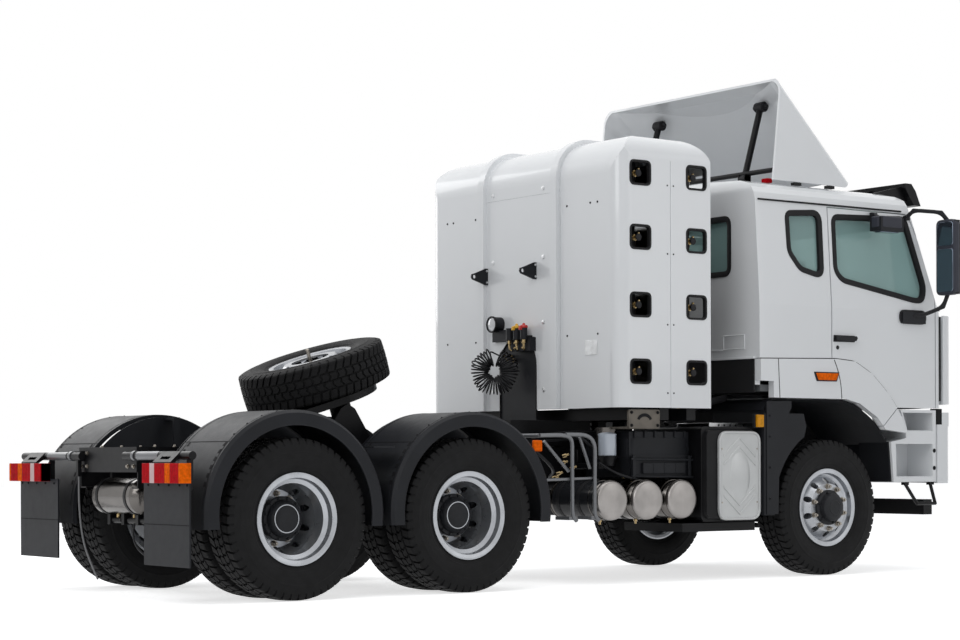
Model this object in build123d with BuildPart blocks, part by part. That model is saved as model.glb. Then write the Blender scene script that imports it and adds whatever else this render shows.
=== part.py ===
"""Three-axle cab-over tractor unit with a gas cylinder rack behind its cab.

Millimetres. +X points forward, +Y to the vehicle's left, +Z up. The wheels stand on z = 0 and
the origin is under the middle of the vehicle. Most pieces are placed from the front axle, whose
x is front_x, or from a rear axle.
"""

from build123d import *
import os
from math import cos, radians, sin, sqrt, tan

os.makedirs("parts", exist_ok=True)

# ---------------------------------------------------------------- driving dimensions
front_overhang = 1500.0
wheelbase = 3575.0
tandem_spacing = 1400.0
rear_overhang = 900.0

tyre_radius = 540.0
tyre_width = 300.0
bead_radius = 286.0
rim_width = 252.0
rim_flange_radius = 308.0
rim_wall = 12.0
front_track = 2040.0
rear_track = 1819.0
dual_spacing = 343.0
hub_radius = 105.0
spindle_radius = 38.0
rear_tube_radius = 62.0
bearing_clearance = 0.05

frame_width = 850.0
frame_top = 1020.0
frame_depth = 280.0
frame_flange = 85.0
frame_plate = 10.0

kingpin_offset = 150.0
kingpin_radius = 24.0

cab_width = 2490.0
cab_rear = -830.0
cab_floor_top = 1500.0
cab_bottom = 1340.0
cab_belt = 2120.0
cab_gutter = 2925.0
cab_roof = 3130.0
cab_gutter_width = 2390.0
cab_wall = 50.0
cab_nose = 1450.0
cab_corner = 1270.0
screen_rise = 850.0
screen_rake = 370.0
door_rear = -40.0
door_front = 1150.0
door_gap = 12.0
panel_gap = 6.0
glass_thickness = 8.0

rack_front = -1270.0
rack_rear = -2200.0
rack_width = 2400.0
rack_bottom = 1310.0
rack_top = 3340.0
rack_centre_width = 1014.0
rack_wall = 25.0
rack_corner = 110.0
rack_crown = 180.0
rack_roll_rear = 290.0
rack_roll_front = 280.0
rack_cap_seam = 2960.0
rack_side_seam = -1700.0
cylinder_radius = 150.0
cylinder_rows = (1577.0, 2070.0, 2570.0, 3045.0)
cylinder_columns = (-1995.0, -1455.0)

fifth_wheel_ahead = 225.0
fifth_wheel_pivot = 1285.0
fifth_wheel_top = 1390.0
fifth_wheel_tilt = 18.0
kingpin_throat = 25.6

overall_length = front_overhang + wheelbase + tandem_spacing + rear_overhang
front_x = overall_length / 2 - front_overhang
rear1_x = front_x - wheelbase
rear2_x = rear1_x - tandem_spacing
tandem_x = (rear1_x + rear2_x) / 2
tail_x = -overall_length / 2
axle_z = tyre_radius
frame_bottom = frame_top - frame_depth
frame_half = frame_width / 2
cab_half = cab_width / 2
SIDES = (("right", -1), ("left", 1))


# ---------------------------------------------------------------- shared shapes
def block(x0, x1, y0, y1, z0, z1, mode=Mode.ADD):
    """A box between two corners."""
    with Locations(((x0 + x1) / 2, (y0 + y1) / 2, (z0 + z1) / 2)):
        Box(abs(x1 - x0), abs(y1 - y0), abs(z1 - z0), mode=mode)


def side_plate(points, y0, y1, mode=Mode.ADD):
    """A plate whose outline is given as (x, z) points, between two y values."""
    with BuildSketch(Plane.XZ.offset(-max(y0, y1))) as outline:
        with BuildLine():
            Polyline(*points, close=True)
        make_face()
    extrude(outline.sketch, amount=abs(y1 - y0), mode=mode)


def cross_rod(x, z, y0, y1, radius, mode=Mode.ADD):
    """A round bar along Y."""
    with Locations(Location((x, (y0 + y1) / 2, z), (90, 0, 0))):
        Cylinder(radius, abs(y1 - y0), mode=mode)


def rod(start, end, radius, mode=Mode.ADD):
    """A round bar between any two points."""
    axis = Vector(*end) - Vector(*start)
    plane = Plane(origin=start, z_dir=axis)
    with BuildSketch(plane) as section:
        Circle(radius)
    extrude(section.sketch, amount=axis.length, mode=mode)


def spun(origin, axis, profile, mode=Mode.ADD):
    """A body of revolution; profile is (distance along the axis, radius) pairs."""
    across = (0, 1, 0) if abs(Vector(*axis).Y) < 0.5 else (1, 0, 0)
    with BuildSketch(Plane(origin=origin, x_dir=axis, z_dir=across)) as section:
        with BuildLine():
            Polyline(*profile, close=True)
        make_face()
    revolve(section.sketch, axis=Axis(origin, axis), mode=mode)


def turned(x, y, z, outward, profile, mode=Mode.ADD):
    """A body of revolution about Y at (x, y, z); profile is (offset, radius) pairs."""
    spun((x, y, z), (0, outward, 0), profile, mode)


def finish(builder, label):
    """Label a finished piece and write it."""
    builder.part.label = label
    export_step(builder.part, f"parts/{label}.step")


# ---------------------------------------------------------------- wheels
# A tyre section has the columns: offset from the tyre's middle, radius.
tyre_section = (
    (-110.0, bead_radius),
    (-110.0, rim_flange_radius + 8),
    (-tyre_width / 2, 400.0),
    (-tyre_width / 2 + 10, 500.0),
    (-tyre_width / 2 + 30, tyre_radius - 6),
    (-60.0, tyre_radius),
    (60.0, tyre_radius),
    (tyre_width / 2 - 30, tyre_radius - 6),
    (tyre_width / 2 - 10, 500.0),
    (tyre_width / 2, 400.0),
    (110.0, rim_flange_radius + 8),
    (110.0, bead_radius),
)
rim_half = rim_width / 2
drum_radius = 205.0
drum_wall = 12.0
seat_radius = bead_radius - 0.5
well_radius = 250.0


def rim_barrel(x, y, z, outward):
    """The barrel of one rim, flange to flange, about Y."""
    barrel_about((x, y, z), (0, outward, 0))


def barrel_about(origin, axis):
    """The drop-centre barrel of one rim about any axis."""
    inner = well_radius - rim_wall
    spun(origin, axis, (
        (-rim_half, rim_flange_radius),
        (-rim_half + rim_wall, rim_flange_radius),
        (-rim_half + 14, seat_radius),
        (-50, seat_radius - 10),
        (-40, well_radius),
        (60, well_radius),
        (80, seat_radius - 8),
        (rim_half - 14, seat_radius),
        (rim_half - rim_wall, rim_flange_radius),
        (rim_half, rim_flange_radius),
        (rim_half, rim_flange_radius - rim_wall),
        (rim_half - 4, seat_radius - rim_wall),
        (84, seat_radius - 8 - rim_wall),
        (66, inner),
        (-46, inner),
        (-56, seat_radius - 10 - rim_wall),
        (-rim_half + 4, seat_radius - rim_wall),
        (-rim_half, rim_flange_radius - rim_wall),
    ))


def hand_holes(x, y, z, ring_radius, hole_radius, count, depth):
    """Round ventilation holes through a wheel disc."""
    with BuildSketch(Plane(origin=(x, y, z), z_dir=(0, 1, 0))) as holes:
        with PolarLocations(ring_radius, count):
            Circle(hole_radius)
    extrude(holes.sketch, amount=depth / 2, both=True, mode=Mode.SUBTRACT)


def placed(master, label, where=(0, 0, 0), flipped=False):
    """Write a copy of a finished wheel piece, moved and, on the right, mirrored."""
    with BuildPart() as copy:
        add(mirror(master.part, about=Plane.XZ, mode=Mode.PRIVATE) if flipped else master.part)
    copy.part.label = label
    copy.part.move(Location(where))
    export_step(copy.part, f"parts/{label}.step")


front_wheel_y = front_track / 2
front_disc_face = rim_half + 6
with BuildPart() as front_tyre:
    turned(front_x, front_wheel_y, axle_z, 1, tyre_section)
with BuildPart() as front_rim:
    rim_barrel(front_x, front_wheel_y, axle_z, 1)
    turned(front_x, front_wheel_y, axle_z, 1, (
        (front_disc_face, hub_radius),
        (front_disc_face, 190),
        (70, 244),
        (50, 244),
        (front_disc_face - 14, 186),
        (front_disc_face - 14, hub_radius),
    ))
    hand_holes(front_x, front_wheel_y + front_disc_face - 20, axle_z, 211, 24, 10, 120)
    turned(front_x, front_wheel_y, axle_z, 1, (
        (-95, drum_radius),
        (30, drum_radius),
        (30, hub_radius + 20),
        (front_disc_face, hub_radius + 20),
        (front_disc_face, hub_radius - 5),
        (front_disc_face + 60, hub_radius - 15),
        (front_disc_face + 70, 60),
        (front_disc_face + 70, 0),
        (150, 0),
        (150, spindle_radius + bearing_clearance),
        (-60, spindle_radius + bearing_clearance),
        (-60, 70),
        (18, 70),
        (18, drum_radius - drum_wall),
        (-95, drum_radius - drum_wall),
    ))
for name, side in SIDES:
    placed(front_tyre, f"tyre_front_{name}", flipped=side < 0)
    placed(front_rim, f"rim_front_{name}", flipped=side < 0)

dual_inner_y = (rear_track - dual_spacing) / 2
dual_outer_y = (rear_track + dual_spacing) / 2
rear_mid_y = rear_track / 2
rear_disc_half = 12.0
REAR_AXLES = (("rear1", rear1_x), ("rear2", rear2_x))
with BuildPart() as rear_tyres:
    for tyre_y in (dual_inner_y, dual_outer_y):
        turned(0, tyre_y, axle_z, 1, tyre_section)
with BuildPart() as rear_rims:
    for tyre_y in (dual_inner_y, dual_outer_y):
        rim_barrel(0, tyre_y, axle_z, 1)
    turned(0, rear_mid_y, axle_z, 1, (
        (-rear_disc_half, 100),
        (-rear_disc_half, 196),
        (-dual_spacing / 2 + 55, 243),
        (-dual_spacing / 2 + 75, 243),
        (0, 205),
        (dual_spacing / 2 - 75, 243),
        (dual_spacing / 2 - 55, 243),
        (rear_disc_half, 196),
        (rear_disc_half, 100),
    ))
    hand_holes(0, rear_mid_y, axle_z, 212, 24, 10, 300)
    turned(0, rear_mid_y, axle_z, 1, (
        (-170, rear_tube_radius + bearing_clearance),
        (-170, 205),
        (-30, 205),
        (-30, 130),
        (60, 130),
        (80, 118),
        (150, 112),
        (165, 95),
        (165, 0),
        (60, 0),
        (60, rear_tube_radius + bearing_clearance),
    ))
for axle, axle_x in REAR_AXLES:
    for name, side in SIDES:
        placed(rear_tyres, f"tyres_{axle}_{name}", (axle_x, 0, 0), side < 0)
        placed(rear_rims, f"rims_{axle}_{name}", (axle_x, 0, 0), side < 0)

# ---------------------------------------------------------------- frame
rail_front = front_x + 1130
rail_rear = tail_x + 140
cross_low = frame_bottom + 120
end_plate_low = 850.0
underrun_half = 1100.0
underrun_z = (462.0, 588.0)
cross_x = (front_x + 1090, front_x - 1680, front_x - 2700,
           rear1_x + 480, rear2_x - 330)
with BuildPart() as frame_rails:
    for side in (-1, 1):
        outer, inner = side * frame_half, side * (frame_half - frame_flange)
        web = side * (frame_half - frame_plate)
        block(rail_rear, rail_front, web, outer, frame_bottom, frame_top)
        block(rail_rear, rail_front, inner, outer, frame_top - frame_plate, frame_top)
        block(rail_rear, rail_front, inner, outer, frame_bottom, frame_bottom + frame_plate)
    for x in cross_x:
        block(x - 5, x + 5, -frame_half + 5, frame_half - 5, cross_low, frame_top - 30)
        for z in (cross_low, frame_top - 40):
            block(x - 60, x + 5, -frame_half + 5, frame_half - 5, z, z + 10)
    cross_rod(tandem_x, frame_bottom + 120, -frame_half + 5, frame_half - 5, 75)
    block(rail_rear - 10, rail_rear, -frame_half, frame_half, end_plate_low, frame_top)
    for z in (end_plate_low, frame_top - frame_plate):
        block(rail_rear - 5, rail_rear + 60, 5 - frame_half, frame_half - 5, z, z + frame_plate)
    block(front_x + 1170, front_x + 1270, -underrun_half, underrun_half, *underrun_z)
    for side in (-1, 1):
        block(rail_front - 80, front_x + 1200, side * 355, side * 410, underrun_z[0] + 30, frame_bottom + 5)
finish(frame_rails, "frame_rails")

# ---------------------------------------------------------------- engine, gearbox and shafts
engine_rear = front_x - 760
with BuildPart() as engine:
    block(engine_rear, front_x + 760, -330, 330, 720, 1380)
finish(engine, "engine")

gearbox_rear = engine_rear - 800
shaft_z = 690.0
with BuildPart() as gearbox:
    with BuildSketch(Plane(origin=(engine_rear, 0, 860), z_dir=(-1, 0, 0))):
        Circle(230)
    with BuildSketch(Plane(origin=(engine_rear - 180, 0, 860), z_dir=(-1, 0, 0))):
        Circle(180)
    loft()
    block(gearbox_rear, engine_rear - 170, -160, 160, 700, 1010)
finish(gearbox, "gearbox")

diff_radius = 205.0
with BuildPart() as rear_axles:
    for axle_x in (rear1_x, rear2_x):
        cross_rod(axle_x, axle_z, -rear_mid_y - 55, rear_mid_y + 55, rear_tube_radius)
        for side in (-1, 1):
            block(axle_x - 70, axle_x + 70, side * 200, side * 620, axle_z - 75, axle_z + 75)
        with Locations((axle_x, 0, axle_z)):
            Sphere(diff_radius)
        rod((axle_x, 0, axle_z + 40), (axle_x + 340, 0, axle_z + 40), 90)
    rod((rear2_x + 340, 0, axle_z + 40), (rear1_x, 0, axle_z + 40), 48)
    rod((rear1_x + 340, 0, axle_z + 40), (gearbox_rear - 30, 0, shaft_z + 90), 52)
    for side in (-1, 1):
        for leaf in range(5):
            reach = 640 - 95 * leaf
            low = axle_z + 75 + 24 * leaf
            block(tandem_x - reach, tandem_x + reach, side * 460, side * 550, low, low + 24)
        block(tandem_x - 90, tandem_x + 90, side * 450, side * 560, axle_z + 195, axle_z + 260)
        cross_rod(tandem_x, axle_z + 150, side * 300, side * 450, 45)
        block(tandem_x - 110, tandem_x + 110, side * frame_half, side * 455, 640, 960)
        for axle_x in (rear1_x, rear2_x):
            block(axle_x - 60, axle_x + 60, side * 455, side * 555, axle_z + 60, axle_z + 80)
finish(rear_axles, "rear_axles")

# ---------------------------------------------------------------- front axle and steering
kingpin_y = front_wheel_y - kingpin_offset
beam_low = axle_z - 130
with BuildPart() as front_axle:
    block(front_x - 45, front_x + 45, -560, 560, beam_low, beam_low + 110)
    for side in (-1, 1):
        plate = [(side * 540, beam_low), (side * (kingpin_y - 52), axle_z - 62),
                 (side * kingpin_y, axle_z - 62), (side * kingpin_y, axle_z + 62),
                 (side * (kingpin_y - 52), axle_z + 62), (side * 540, beam_low + 110)]
        with BuildSketch(Plane.YZ.offset(front_x - 45)) as beam_end:
            with BuildLine():
                Polyline(*plate, close=True)
            make_face()
        extrude(beam_end.sketch, amount=90)
        with Locations((front_x, side * kingpin_y, axle_z)):
            Cylinder(40, 124)
            Cylinder(kingpin_radius + bearing_clearance, 200, mode=Mode.SUBTRACT)
        for leaf in range(4):
            reach = 800 - 130 * leaf
            low = beam_low + 110 + 20 * (3 - leaf)
            block(front_x - reach, front_x + reach, side * 385, side * 470, low, low + 20)
        for x in (-790, 760):
            block(front_x + x, front_x + x + 30, side * 395, side * 460,
                  beam_low + 185, frame_bottom)
finish(front_axle, "front_axle")

arm_height = axle_z - 110
arm_back = 210.0
arm_inset = 25.0
for name, side in SIDES:
    pin_y = side * kingpin_y
    with BuildPart() as knuckle:
        with Locations((front_x, pin_y, axle_z)):
            Cylinder(kingpin_radius, 220)
        for z in (axle_z - 110, axle_z + 68):
            with Locations((front_x, pin_y, z + 21)):
                Cylinder(44, 42)
        side_y = pin_y + side * 52
        block(front_x - 44, front_x + 44, side_y, side_y + side * 26,
              axle_z - 110, axle_z + 110)
        for z in (axle_z - 110, axle_z + 68):
            block(front_x - 30, front_x + 30, pin_y, side_y + side * 5, z, z + 42)
        cross_rod(front_x, axle_z, side_y, side * (front_wheel_y + 140), spindle_radius)
        block(front_x - arm_back - 25, front_x - 20, pin_y - side * arm_inset - 20,
              pin_y - side * arm_inset + 20, arm_height, arm_height + 22)
        block(front_x - 60, front_x + 20, pin_y - side * (arm_inset + 20), pin_y,
              arm_height, arm_height + 22)
    finish(knuckle, f"knuckle_{name}")

rod_x = front_x - arm_back
rod_y = kingpin_y - arm_inset
with BuildPart() as tie_rod:
    cross_rod(rod_x, arm_height - 40, -rod_y, rod_y, 20)
    for side in (-1, 1):
        with Locations((rod_x, side * rod_y, arm_height - 28.3)):
            Cylinder(28, 56)
finish(tie_rod, "tie_rod")

# ---------------------------------------------------------------- cab
plan_spare = 14.0


def cab_plan(inset):
    """The cab's plan outline: straight sides, rounded corners and a bowed front."""
    half = cab_half - inset + plan_spare
    nose = front_x + cab_nose - inset
    corner = front_x + cab_corner - inset
    back = front_x - 1400
    with BuildSketch() as plan:
        with BuildLine():
            Polyline((corner - 140, -half), (back, -half), (back, half), (corner - 140, half))
            ThreePointArc((corner - 140, half), (corner - 25, half - 52), (corner + 30, half - 150))
            ThreePointArc((corner + 30, half - 150), (nose, 0), (corner + 30, 150 - half))
            ThreePointArc((corner + 30, 150 - half), (corner - 25, 52 - half), (corner - 140, -half))
        make_face()
    return plan.sketch


def cab_body(inset):
    """The cab's outer form, moved inwards by inset on every side."""
    half = cab_half - inset
    gutter = cab_gutter_width / 2 - inset
    rear = front_x + cab_rear + inset
    top = cab_roof - inset
    peak = top + 12
    plan = cab_plan(inset)
    with BuildPart() as body:
        extrude(plan.moved(Location((0, 0, cab_bottom - 100))), amount=cab_belt - cab_bottom + 100)
        extrude(plan.moved(Location((0, 0, cab_belt))), amount=sqrt(screen_rise**2 + screen_rake**2) * 1.6,
                dir=(-screen_rake, 0, screen_rise))
        with BuildSketch(Plane.YZ.offset(front_x - 1500)) as front_view:
            with BuildLine():
                Polyline((-gutter, cab_gutter), (-half, cab_belt), (-half, cab_bottom + inset),
                         (half, cab_bottom + inset), (half, cab_belt), (gutter, cab_gutter))
                Polyline((gutter, cab_gutter), (gutter - 14, top - 140), (gutter - 46, top - 95),
                         (gutter - 95, top - 62), (gutter - 200, top - 35), (gutter - 600, top - 9),
                         (600 - gutter, top - 9), (200 - gutter, top - 35), (95 - gutter, top - 62),
                         (46 - gutter, top - 95), (14 - gutter, top - 140), (-gutter, cab_gutter))
            make_face()
        extrude(front_view.sketch, amount=3200, mode=Mode.INTERSECT)
        with BuildSketch(Plane.XZ.offset(-1400)) as side_view:
            with BuildLine():
                Polyline((rear, peak - 140), (rear, cab_bottom - 100), (front_x + 1700, cab_bottom - 100),
                         (front_x + 1700, peak - 270), (front_x + 1000, peak - 210),
                         (front_x + 860, peak - 85), (front_x + 620, peak), (rear + 140, peak))
                ThreePointArc((rear + 140, peak), (rear + 41, peak - 41), (rear, peak - 140))
            make_face()
        extrude(side_view.sketch, amount=2800, mode=Mode.INTERSECT)
    return body.part


cab_outer = cab_body(0.0)
cab_inner = cab_body(cab_wall)
cab_skin = cab_outer - cab_inner
glass_outer = cab_body((cab_wall - glass_thickness) / 2)
glass_inner = cab_body((cab_wall + glass_thickness) / 2)
glass_skin = glass_outer - glass_inner

# The wheel arch's outer edge cuts the door's rear corner; (x from the axle, z).
arch_outer = ((-832, 1300), (-832, 1698), (-10, 1715), (200, 1700), (395, 1605),
              (590, 1445), (684, 1336), (745, 1255), (795, 1134))
arch_inner = ((-900, 1530), (-694, 1528), (-694, 1401), (101, 1399), (258, 1364), (456, 1256),
              (577, 1132), (640, 1050))
door_window = ((20, 2840), (835, 2872), (1030, 2326), (1003, 2222), (910, 2222), (90, 2350),
               (20, 2420))
quarter_window = ((-490, 2838), (-180, 2860), (-143, 2822), (-145, 2405), (-180, 2378),
                  (-370, 2418), (-482, 2546))
door_outline = ((door_rear, cab_gutter - 12), (door_rear, 1722), (200, 1706), (400, 1612),
                (595, 1452), (690, 1340), (door_front, 1340), (door_front, 2250),
                (1020, 2650), (900, 2860), (845, cab_gutter - 12))


def from_axle(points):
    """Points measured from the front axle, in the vehicle's frame."""
    return [(front_x + x, z) for x, z in points]


def grown(points, amount):
    """The same outline moved outwards by a small gap."""
    with BuildSketch(Plane.XZ.offset(-cab_half - 40)) as outline:
        with BuildLine():
            Polyline(*from_axle(points), close=True)
        make_face()
        if amount:
            offset(amount=amount, kind=Kind.INTERSECTION)
    return outline.sketch


def through_cab(points, amount=0.0, mode=Mode.SUBTRACT):
    """Cut an outline right across the cab."""
    extrude(grown(points, amount), amount=cab_width + 80, mode=mode)


roof_split = cab_gutter - 3
windscreen_low = cab_belt + 30
windscreen_high = cab_gutter - 60
pillar_x = door_front + panel_gap


far = 1700.0
header_x = 560.0


def cab_region(x0, x1, z0, z1):
    """Keep only the stretch of the cab between two x values and two z values."""
    block(front_x + x0, front_x + x1, -cab_width, cab_width, z0, z1, mode=Mode.INTERSECT)


with BuildPart() as cab_roof_panel:
    add(cab_skin)
    cab_region(-far, far, roof_split, cab_roof + 50)
finish(cab_roof_panel, "cab_roof")

rear_window_low = 2380.0
rear_window_high = 2800.0
with BuildPart() as cab_back:
    add(cab_skin)
    cab_region(cab_rear - 10, cab_rear + cab_wall, cab_floor_top, roof_split)
    for side in (-1, 1):
        block(front_x + cab_rear - 60, front_x + cab_rear + 100, side * 330, side * 900,
              rear_window_low, rear_window_high, mode=Mode.SUBTRACT)
        block(front_x + cab_rear - 60, front_x + cab_rear + 100, side * (cab_half - 50),
              side * (cab_half + 50), cab_bottom, 1700 + panel_gap, mode=Mode.SUBTRACT)
finish(cab_back, "cab_back")

with BuildPart() as cab_side_panels:
    add(cab_skin)
    cab_region(cab_rear + cab_wall, pillar_x, cab_bottom, roof_split)
    through_cab(door_outline, door_gap)
    through_cab(quarter_window)
    through_cab(arch_outer, panel_gap)
    block(front_x + cab_rear - 10, front_x + far, -cab_half + 110, cab_half - 110,
          cab_bottom - 50, cab_gutter + 5, mode=Mode.SUBTRACT)
    block(front_x + header_x, front_x + far, -cab_width, cab_width,
          cab_bottom - 50, cab_gutter + 5, mode=Mode.SUBTRACT)
finish(cab_side_panels, "cab_sides")

flap_low = cab_bottom
flap_high = cab_belt - 60
flap_half = 1010.0
screen_half = 1040.0
with BuildPart() as cab_front:
    add(cab_skin)
    cab_region(header_x, far, cab_bottom, roof_split)
    through_cab(door_outline, door_gap)
    block(front_x + door_front - 50, front_x + far, -flap_half - 10, flap_half + 10,
          flap_low - 60, flap_high + 10, mode=Mode.SUBTRACT)
    block(front_x + header_x + 40, front_x + far, -screen_half, screen_half, windscreen_low,
          windscreen_high, mode=Mode.SUBTRACT)
    through_cab(arch_outer, panel_gap)
finish(cab_front, "cab_front")

with BuildPart() as front_flap:
    add(cab_skin)
    block(front_x + door_front + 100, front_x + far, -flap_half, flap_half, flap_low, flap_high,
          mode=Mode.INTERSECT)
finish(front_flap, "front_flap")

tunnel_half = 420.0
tunnel_top = 1640.0
with BuildPart() as cab_floor:
    add(cab_inner)
    cab_region(cab_rear, far, cab_floor_top - cab_wall, cab_floor_top)
    block(front_x + cab_rear + cab_wall + 2, front_x + 800, -tunnel_half, tunnel_half,
          cab_floor_top - cab_wall, tunnel_top)
    block(front_x + cab_rear - 40, front_x + 760, -tunnel_half + cab_wall, tunnel_half - cab_wall,
          cab_floor_top - 2 * cab_wall, tunnel_top - cab_wall, mode=Mode.SUBTRACT)
    block(front_x + cab_rear, front_x + far, -cab_width, cab_width, cab_bottom, cab_floor_top - cab_wall,
          mode=Mode.SUBTRACT)
    for side in (-1, 1):
        block(front_x + door_rear - 40, front_x + pillar_x, side * (cab_half - cab_wall - 12),
              side * cab_half, cab_bottom, cab_floor_top + 10, mode=Mode.SUBTRACT)
finish(cab_floor, "cab_floor")

def fender_form(side):
    """The whole wheel-arch surround of one side."""
    with BuildPart() as form:
        side_plate(from_axle(arch_outer), side * (cab_half - 45), side * (cab_half + 15))
        side_plate(from_axle(arch_inner + ((660, 1000), (-900, 1000))), side * (cab_half - 150),
                   side * (cab_half + 40), mode=Mode.SUBTRACT)
    return form.part


def fender_cut(shift):
    """The region ahead of the joint between the tilting surround and its fixed lower end."""
    return from_axle(((690 + shift, 1341 - shift), (490 + shift, 1163 - shift), (490 + shift, 1000),
                      (900, 1000), (900, 1341 - shift)))


with BuildPart() as cab_fenders:
    for side in (-1, 1):
        add(fender_form(side))
        side_plate(fender_cut(0), side * (cab_half - 150), side * (cab_half + 40), mode=Mode.SUBTRACT)
finish(cab_fenders, "cab_fenders")

with BuildPart() as cab_glass:
    add(glass_skin)
    block(front_x + header_x + 40, front_x + far, -screen_half + 2, screen_half - 2,
          windscreen_low + 2, windscreen_high - 2, mode=Mode.INTERSECT)
with BuildPart() as side_glass:
    add(glass_skin)
    through_cab(quarter_window, -2, mode=Mode.INTERSECT)
with BuildPart() as rear_glass:
    add(glass_skin)
    cab_region(cab_rear - 10, cab_rear + cab_wall, rear_window_low + 2, rear_window_high - 2)
    block(front_x - 1600, front_x, -332, 332, 2000, 3200, mode=Mode.SUBTRACT)
    for side in (-1, 1):
        block(front_x - 1600, front_x, side * 898, side * 1400, 2000, 3200, mode=Mode.SUBTRACT)
with BuildPart() as cab_glazing:
    add(cab_glass.part)
    add(side_glass.part)
    add(rear_glass.part)
finish(cab_glazing, "cab_glass")

with BuildPart() as cab_interior:
    for side in (-1, 1):
        seat_y = side * 620
        block(front_x + 20, front_x + 520, seat_y - 250, seat_y + 250, 1800, 1930)
        block(front_x - 110, front_x + 50, seat_y - 240, seat_y + 240, 1850, 2520)
        block(front_x + 120, front_x + 420, seat_y - 160, seat_y + 160, cab_floor_top, 1820)
    block(front_x + 930, front_x + 1160, -1080, 1080, 1900, 2110)
    block(front_x + 1000, front_x + 1160, -1080, 1080, cab_floor_top, 1920)
    block(front_x + cab_rear + cab_wall + 10, front_x - 300, -1080, 1080, 1760, 1900)
    block(front_x + cab_rear + cab_wall + 10, front_x - 300, -1000, 1000, cab_floor_top, 1780)
    block(front_x + cab_rear + cab_wall, front_x - 250, -tunnel_half - 2, tunnel_half + 2,
          cab_floor_top - 10, tunnel_top + 2, mode=Mode.SUBTRACT)
finish(cab_interior, "cab_interior")

# ---------------------------------------------------------------- doors
handle_x = 140.0
handle_z = 1880.0
for name, side in SIDES:
    with BuildPart() as door:
        add(cab_skin)
        through_cab(door_outline, mode=Mode.INTERSECT)
        through_cab(door_window)
        block(front_x - 300, front_x + 1400, -side * cab_width, side * (cab_half - 110),
              cab_bottom - 60, cab_gutter + 10, mode=Mode.SUBTRACT)
        block(front_x - 300, front_x + door_front - 60, -side * cab_width, side * (cab_half - cab_wall),
              cab_bottom - 60, cab_belt - 200, mode=Mode.SUBTRACT)
        block(front_x + handle_x - 110, front_x + handle_x + 100, side * (cab_half - 20),
              side * (cab_half + 22), handle_z - 14, handle_z + 14)
    finish(door, f"door_{name}")

    with BuildPart() as pane:
        add(glass_skin)
        through_cab(door_window, -2, mode=Mode.INTERSECT)
        block(front_x - 300, front_x + 1400, -side * cab_width, side * (cab_half - 200),
              cab_bottom - 60, cab_gutter + 10, mode=Mode.SUBTRACT)
    finish(pane, f"door_glass_{name}")

# ---------------------------------------------------------------- mirrors
mirror_x = 1105.0
mirror_y = 1435.0
mirror_low = 2262.0
mirror_high = 2862.0
arm_radius = 15.0
for name, side in SIDES:
    def at(x, y, z, s=side):
        return (front_x + x, s * y, z)
    with BuildPart() as mirror_set:
        block(front_x + mirror_x - 40, front_x + mirror_x + 50, side * (mirror_y - 95),
              side * (mirror_y + 95), mirror_low, mirror_high)
        fillet(mirror_set.edges().filter_by(Axis.Z), 30)
        upper = [at(850, 1220, 2890), at(860, 1280, 2945), at(1060, 1400, 2930), at(1115, 1435, 2850)]
        lower = [at(860, 1262, 2085), at(960, 1290, 2095), at(1080, 1400, 2160), at(1110, 1430, 2275)]
        for points in (upper, lower):
            for start, end in zip(points, points[1:]):
                rod(start, end, arm_radius)
            for point in points[1:-1]:
                with Locations(point):
                    Sphere(arm_radius)
        block(front_x + 740, front_x + 1010, side * cab_half, side * (cab_half + 30), 2025, 2115)
        block(front_x + 825, front_x + 875, side * 1200, side * 1230, 2868, 2905)
        block(front_x + 330, front_x + 590, side * 1300, side * 1420, 2740, 2850)
        rod(at(460, 1222, 2890), at(460, 1320, 2830), 18)
        block(front_x + 430, front_x + 490, side * 1202, side * 1230, 2870, 2905)
    finish(mirror_set, f"mirrors_{name}")

# ---------------------------------------------------------------- steering wheel
steer_centre = Vector(front_x + 690, 620, 2180)
steer_lean = 28.0
steer_axis = Vector(-sin(radians(steer_lean)), 0, cos(radians(steer_lean)))
with BuildPart() as steering_wheel:
    with BuildSketch(Plane(origin=steer_centre, x_dir=(0, 1, 0), z_dir=steer_axis)) as spokes:
        Circle(55)
        for angle in (0, 120, 240):
            with Locations(Location((0, 0), angle)):
                with Locations((115, 0)):
                    Rectangle(196, 34)
    extrude(spokes.sketch, amount=9, both=True)
    with Locations(Plane(origin=steer_centre, x_dir=(0, 1, 0), z_dir=steer_axis)):
        Torus(220, 16)
    rod(steer_centre - steer_axis * 5, steer_centre - steer_axis * 110, 26)
finish(steering_wheel, "steering_wheel")

# ---------------------------------------------------------------- roof deflector
defl_half = 1080.0
defl_top = 3925.0
defl_wall = 18.0
defl_rear = ((-520, 3116), (-430, defl_top))
defl_tip = (350.0, 3180.0)
defl_nose = 600.0
defl_base = 3000.0
defl_lean = (-780, 0, 745)


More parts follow.
